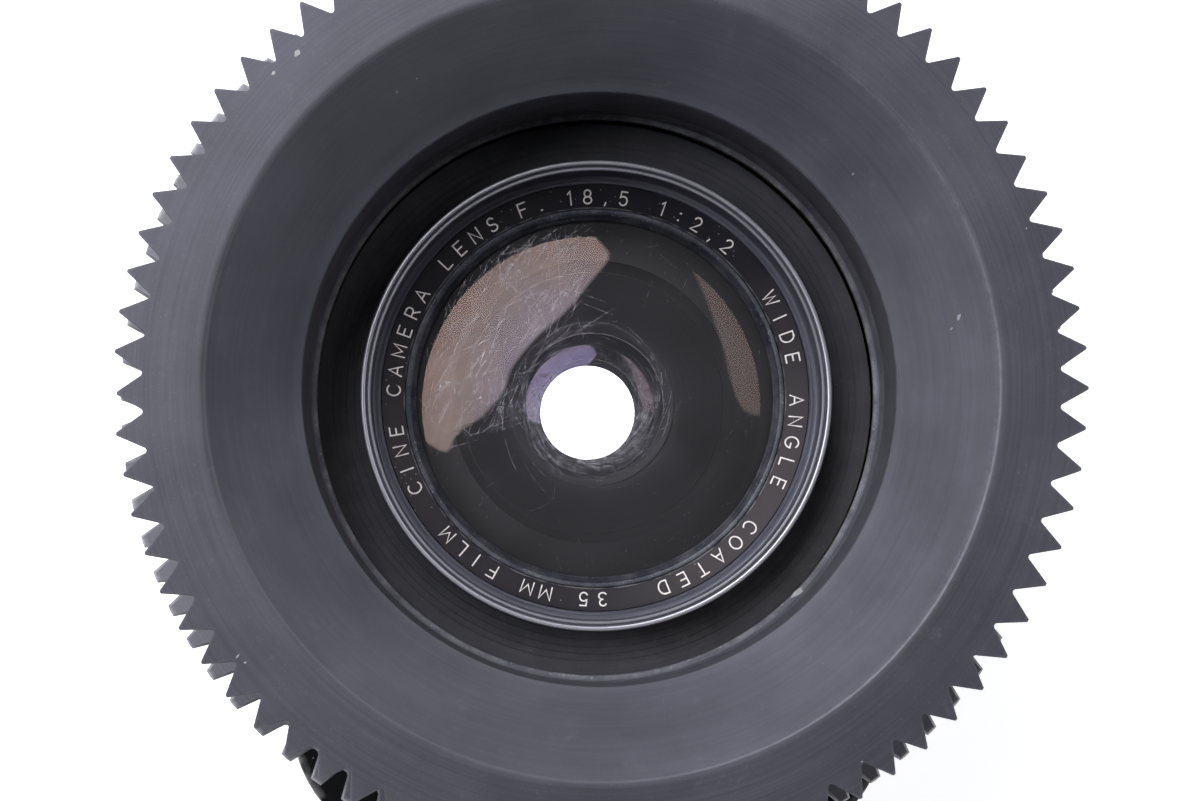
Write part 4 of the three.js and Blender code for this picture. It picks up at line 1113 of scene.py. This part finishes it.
def optical_block():
    rim = [(20.4, 19.2), (20.4, 18.5, 0.1), (20.36, 18.15, 0.3), (20.28, 17.94, 0.9), (20.2, 17.9, 0.85),
           (20.04, 17.9, 0.8), (19.97, 17.94, 0.8), (19.94, 18.04, 0.15), (19.86, 18.3), (19.8, 18.34),
           (19.76, 18.24, 0.3), (19.7, 18.18, 0.6), (19.58, 18.18, 0.6), (19.5, 18.24, 0.25), (19.46, 18.4)]
    rim += teeth(19.46, 18.5, 21.0, 0.5, 0.07)
    rim += [(19.42, 21.16), (19.36, 21.2, 0.05), (19.1, 21.2), (19.08, 21.23), (19.04, 21.2), (18.86, 21.2),
            (18.84, 21.22), (18.8, 21.2, 0.06), (18.76, 21.24), (18.76, 21.5), (19.0, 21.7), (19.0, 30.0),
            (20.3, 30.0), (20.4, 29.9)]
    turned("filter_bezel", BRIGHT, rim, sides=MANY, ready=True,
           dusty=lambda r, d: 0.3)
    name_ring()
    keeper = [(15.75, 23.2), (15.77, 23.12, 0.2), (15.92, 22.9), (15.95, 22.92), (15.99, 22.8, 0.1),
              (16.2, 22.46), (16.24, 22.47), (16.28, 22.36, 0.15), (16.4, 22.3, 0.1), (16.62, 22.3, 0.12),
              (16.66, 22.34), (16.66, 22.6), (16.5, 22.7), (16.5, 23.2)]
    turned("front_retaining_ring", BLUED, keeper, ready=True,
           dusty=lambda r, d: 0.7)
    element("front_meniscus", 16.9, (GLASS_POLE, GLASS_CURVE), (23.6, 20, 12.8), (FRONT_GLASS, BLOOMED))
    cell = [(17.2, 24.0), (18.7, 24.0), (18.7, 30.0), (18.3, 30.25), (12.0, 30.25), (12.0, 30.15),
            (12.9, 29.6), (13.8, 29.0), (14.5, 28.7), (15.2, 28.6), (17.2, 28.6)]
    turned("front_cell", CELL, cell, ready=True)
    baffle = [(11.9, 30.28), (11.97, 30.3), (11.97, 30.6), (11.9, 30.7), (11.9, 33.8), (6.65, 33.8),
              (6.65, 33.3), (6.85, 33.12), (7.0, 33.04, 0.1), (7.5, 32.84, 0.1), (7.6, 32.86),
              (7.68, 32.95)]
    for i in range(1, 8):
        t = i / 8
        r, d = 7.8 + (11.9 - 7.8) * t, 32.9 + (30.28 - 32.9) * t
        baffle += [(r - 0.06, d + 0.07), (r, d)]
    turned("baffle_cone", CELL, baffle, ready=True)
    element("second_meniscus", 8.7, (33.2, 20), (34.5, 12, 7), (INNER_GLASS, BLOOMED), SMALL, 18)
    barrel = [(12.2, 30.3), (20.4, 30.3), (20.4, 40), (16.4, 40), (16.4, 47.9), (14.4, 47.9), (14.4, 42.3),
              (7.9, 42.3), (7.9, 40.6), (9, 40.6), (9, 34.1), (12.2, 34.1)]
    turned("optical_barrel", CELL, barrel, 0.12, SMALL, cuts=[sector(13.4, 17.4, 296, 389, 42.4, 44.4, 48)])
    floor = [(20.55, RECESS_FLOOR + 0.1), (20.6, RECESS_FLOOR)]
    for r in (21.2, 21.9, 22.5, 23.1):
        floor += [(r, RECESS_FLOOR), (r + 0.03, RECESS_FLOOR + 0.03), (r + 0.06, RECESS_FLOOR)]
    floor += [(23.75, 23.62), (24.3, RECESS_FLOOR), (24.48, 23.66), (24.5, 23.8), (24.5, 29.3)]
    floor += teeth(24.55, 29.6, 39.2, 0.9, -0.3) + [(24.55, 39.5), (20.7, 39.5), (20.7, 24.6)]
    turned("helicoid_sleeve", MATTE, floor, ready=True,
           dusty=lambda r, d: 0.16 if d < 24 else 0.0)
    turned("middle_spacer", CELL, tube(7.9, 8.7, 37, 38.6), 0.08, SMALL)
    element("middle_lens", 8.7, (37.6, 22), (41.5, -26), (BLOOMED, BLOOMED), SMALL, 14)
    cell = [(7.9, 48.2), (16.6, 48.2), (16.6, 62.6), (10.4, 62.6), (9.2, 61.9), (9.2, 55), (7.9, 55)]
    turned("rear_cell", CELL, cell, cuts=[block(level(0, 17.1, 57.3), (1.7 * MM, 2.0 * MM, 6.3 * MM))])
    for node, r, front, rear in (("doublet_front", 7.6, (49.6, -20), (50.8, 16)),
                                 ("doublet_rear", 7.6, (51.1, 16), (54.5, -17)),
                                 ("rear_lens_1", 8.8, (56, -60), (58, -24)),
                                 ("rear_lens_2", 8.8, (58.4, 34), (61, -40))):
        element(node, r, front, rear, (REAR_GLASS, REAR_GLASS), SMALL, 12)
    turned("rear_spacer", CELL, tube(8.1, 8.9, 56.8, 58.7), 0.08, SMALL)
    turned("rear_retaining_ring", CELL, tube(7.9, 8.9, 60.7, 61.9), 0.08, SMALL,
          cuts=[block(level(0, 0, 62), (12 * MM, 0.35 * MM, 0.4 * MM))])


# ---- iris
def arc(r, start, stop, count):
    """Points (x, y) along an arc about the axis, between two angles in degrees."""
    return [(r * cos(a), r * sin(a)) for a in np.radians(np.linspace(start, stop, count))]


def blade(i, outline):
    """Blade i and its pivot: a thin blade cut to an outline, its edge broken by a small chamfer."""
    turn = Matrix.Rotation(radians(36 * i), 4, "Z")
    flat = [tuple((turn @ Vector((x, y, 0)))[:2]) for x, y in outline]
    front = 44.45 + 0.18 * i
    back, edge = front + 0.12, 0.03
    made = Rings()
    for by, depth in ((edge, front), (0.0, front + edge), (0.0, back - edge), (edge, back)):
        made.add([level(x, y, depth) for x, y in inset(flat, by)], 0.8)
    faces, _ = skin(made.rings, closed=False)
    faces += [tuple(made.rings[0]), tuple(reversed(made.rings[-1]))]
    obj = stand_in(f"iris_blade_{i + 1}", made.verts, faces, [BLADE], made.wear)

    def add_pivot(work):
        verts, sides = axial_rod(0.45, front + 0.06, 47.4, PIVOTS, 0, 20)
        corners = [work.verts.new(turn @ v) for v in verts]
        for side in sides:
            work.faces.new([corners[k] for k in side])

    reshape(obj.data, add_pivot)
    smooth(obj.data)


def iris():
    outline = arc(9.6, 12, 106, 30) + arc(7.35, 113, 113, 1) + arc(5.1, 106, -12, 36)
    outline += arc(9.6, -12, -12, 1) + [(PIVOTS + x, y) for x, y in arc(1.4, -75, 75, 14)]
    for i in range(BLADES):
        blade(i, outline)
    base = [(4.6, 46.75), (4.9, 46.45), (14.1, 46.45), (14.1, 47.6), (4.6, 47.6)]
    turned("iris_base", CELL, base, 0.06,
           cuts=[axial_rod(0.65, 46, 48, PIVOTS, 36 * i) for i in range(BLADES)])
    slots = []
    for i in range(BLADES):
        middle = 36 * i + 12
        ring = arc(11.6, middle - 8, middle + 8, 8) + arc(10.4, middle + 12, middle - 4, 8)
        slots.append(prism(*([level(x, y, d) for x, y in ring] for d in (42.0, 44.8))))
    turned("iris_actuator", BLADE, tube(6.3, 14.1, 42.6, 44.2), 0.06,
           SMALL, cuts=slots)
    solid("actuator_pin", radial_rod(0.7, 14.4, 28.9, DRIVE_PIN, 43.4, 24, 0.1), 0.5)


# ---- studio
def panel(name, verts, material, faces=None):
    """A flat studio surface, one face unless others are given."""
    mesh = new_mesh(name, verts, faces or [tuple(range(len(verts)))])
    mesh.materials.append(material)
    obj = add_object(name, mesh)
    return obj


def lamp(name, outline, height, material, feather):
    """A flat lamp of the given outline, in mm, whose light fades out over its border."""
    count = len(outline)
    verts = [(p.x * MM, p.y * MM, height) for p in outline + inset(outline, feather)]
    faces = [(i, (i + 1) % count, count + (i + 1) % count, count + i) for i in range(count)]
    made = panel(name, verts, material, faces + [tuple(range(count, 2 * count))])
    store(made.data, "lit", [0.0] * count + [1.0] * count)


def rounded(outline):
    """The outline in mm with its corners cut twice over, as a soft-cornered loop."""
    points = [Vector(p) for p in outline]
    for _ in range(2):
        cornered, points = points, []
        for p, q in zip(cornered, cornered[1:] + cornered[:1]):
            points += [p.lerp(q, 0.2), p.lerp(q, 0.8)]
    return points


def studio():
    s = Shader("floor")
    shade = s.ramp(s.noise(s.place(), 3.0, 2.0), (0.3, 0.86), (0.7, 0.9))
    floor = s.principled({
        "Base Color": shade, "Roughness": 0.7, "Emission Color": (1.0, 1.0, 1.0), "Emission Strength": 0.75,
    })
    panel("floor", [(x, y, -0.0004) for x, y in ((-4, -4), (4, -4), (4, 4), (-4, 4))], floor)
    light = (0.96, 0.97, 1.04)
    key = [(-260, 900), (-900, 900), (-900, 90), (-720, 95), (-345, -55), (-274, -84), (-255, -40),
           (-196, -9), (-150, 40), (-139, 83), (-94, 140), (-33, 193), (10, 256), (58, 324), (17, 387)]
    side = [(330, -12), (900, -12), (900, 620), (120, 620), (205, 350), (243, 239), (269, 138), (288, 46)]
    pad = [Vector((11 * cos(a), 11 * sin(a))) for a in np.linspace(0, TURN, 49)[:-1]]
    lamp("key_softbox", rounded(key), LAMP_HEIGHT, glow("key_diffuser", light, 5.2), 9.0)
    lamp("side_softbox", rounded(side), LAMP_HEIGHT, glow("side_diffuser", light, 2.0), 9.0)
    lamp("light_pad", pad, -0.0002, glow("pad_diffuser", (1.0, 1.0, 1.0), 5.0), 0.5)
    world = bpy.data.worlds.new("studio")
    bpy.context.scene.world = world
    world.use_nodes = True
    w = Shader("", world.node_tree)
    rise = w.node("SeparateXYZ", {0: w.node("TexCoord").outputs["Generated"]}).outputs[2]
    shade = w.ramp(w.math("ABSOLUTE", rise), (0.0, (0.9, 0.9, 0.92)), (0.2, (0.55, 0.55, 0.57)),
                   (0.42, (0.045, 0.045, 0.05)), (1.0, (0.03, 0.03, 0.033)))
    w.node("OutputWorld", {"Surface": w.node("Background", {"Color": shade, "Strength": 1.0}).outputs[0]})
    bpy.context.scene.view_settings.view_transform = "Standard"


make_camera()
focus_group()
iris_ring_group()
mount_group()
optical_block()
scratches()
dust()
chips()
iris()
studio()
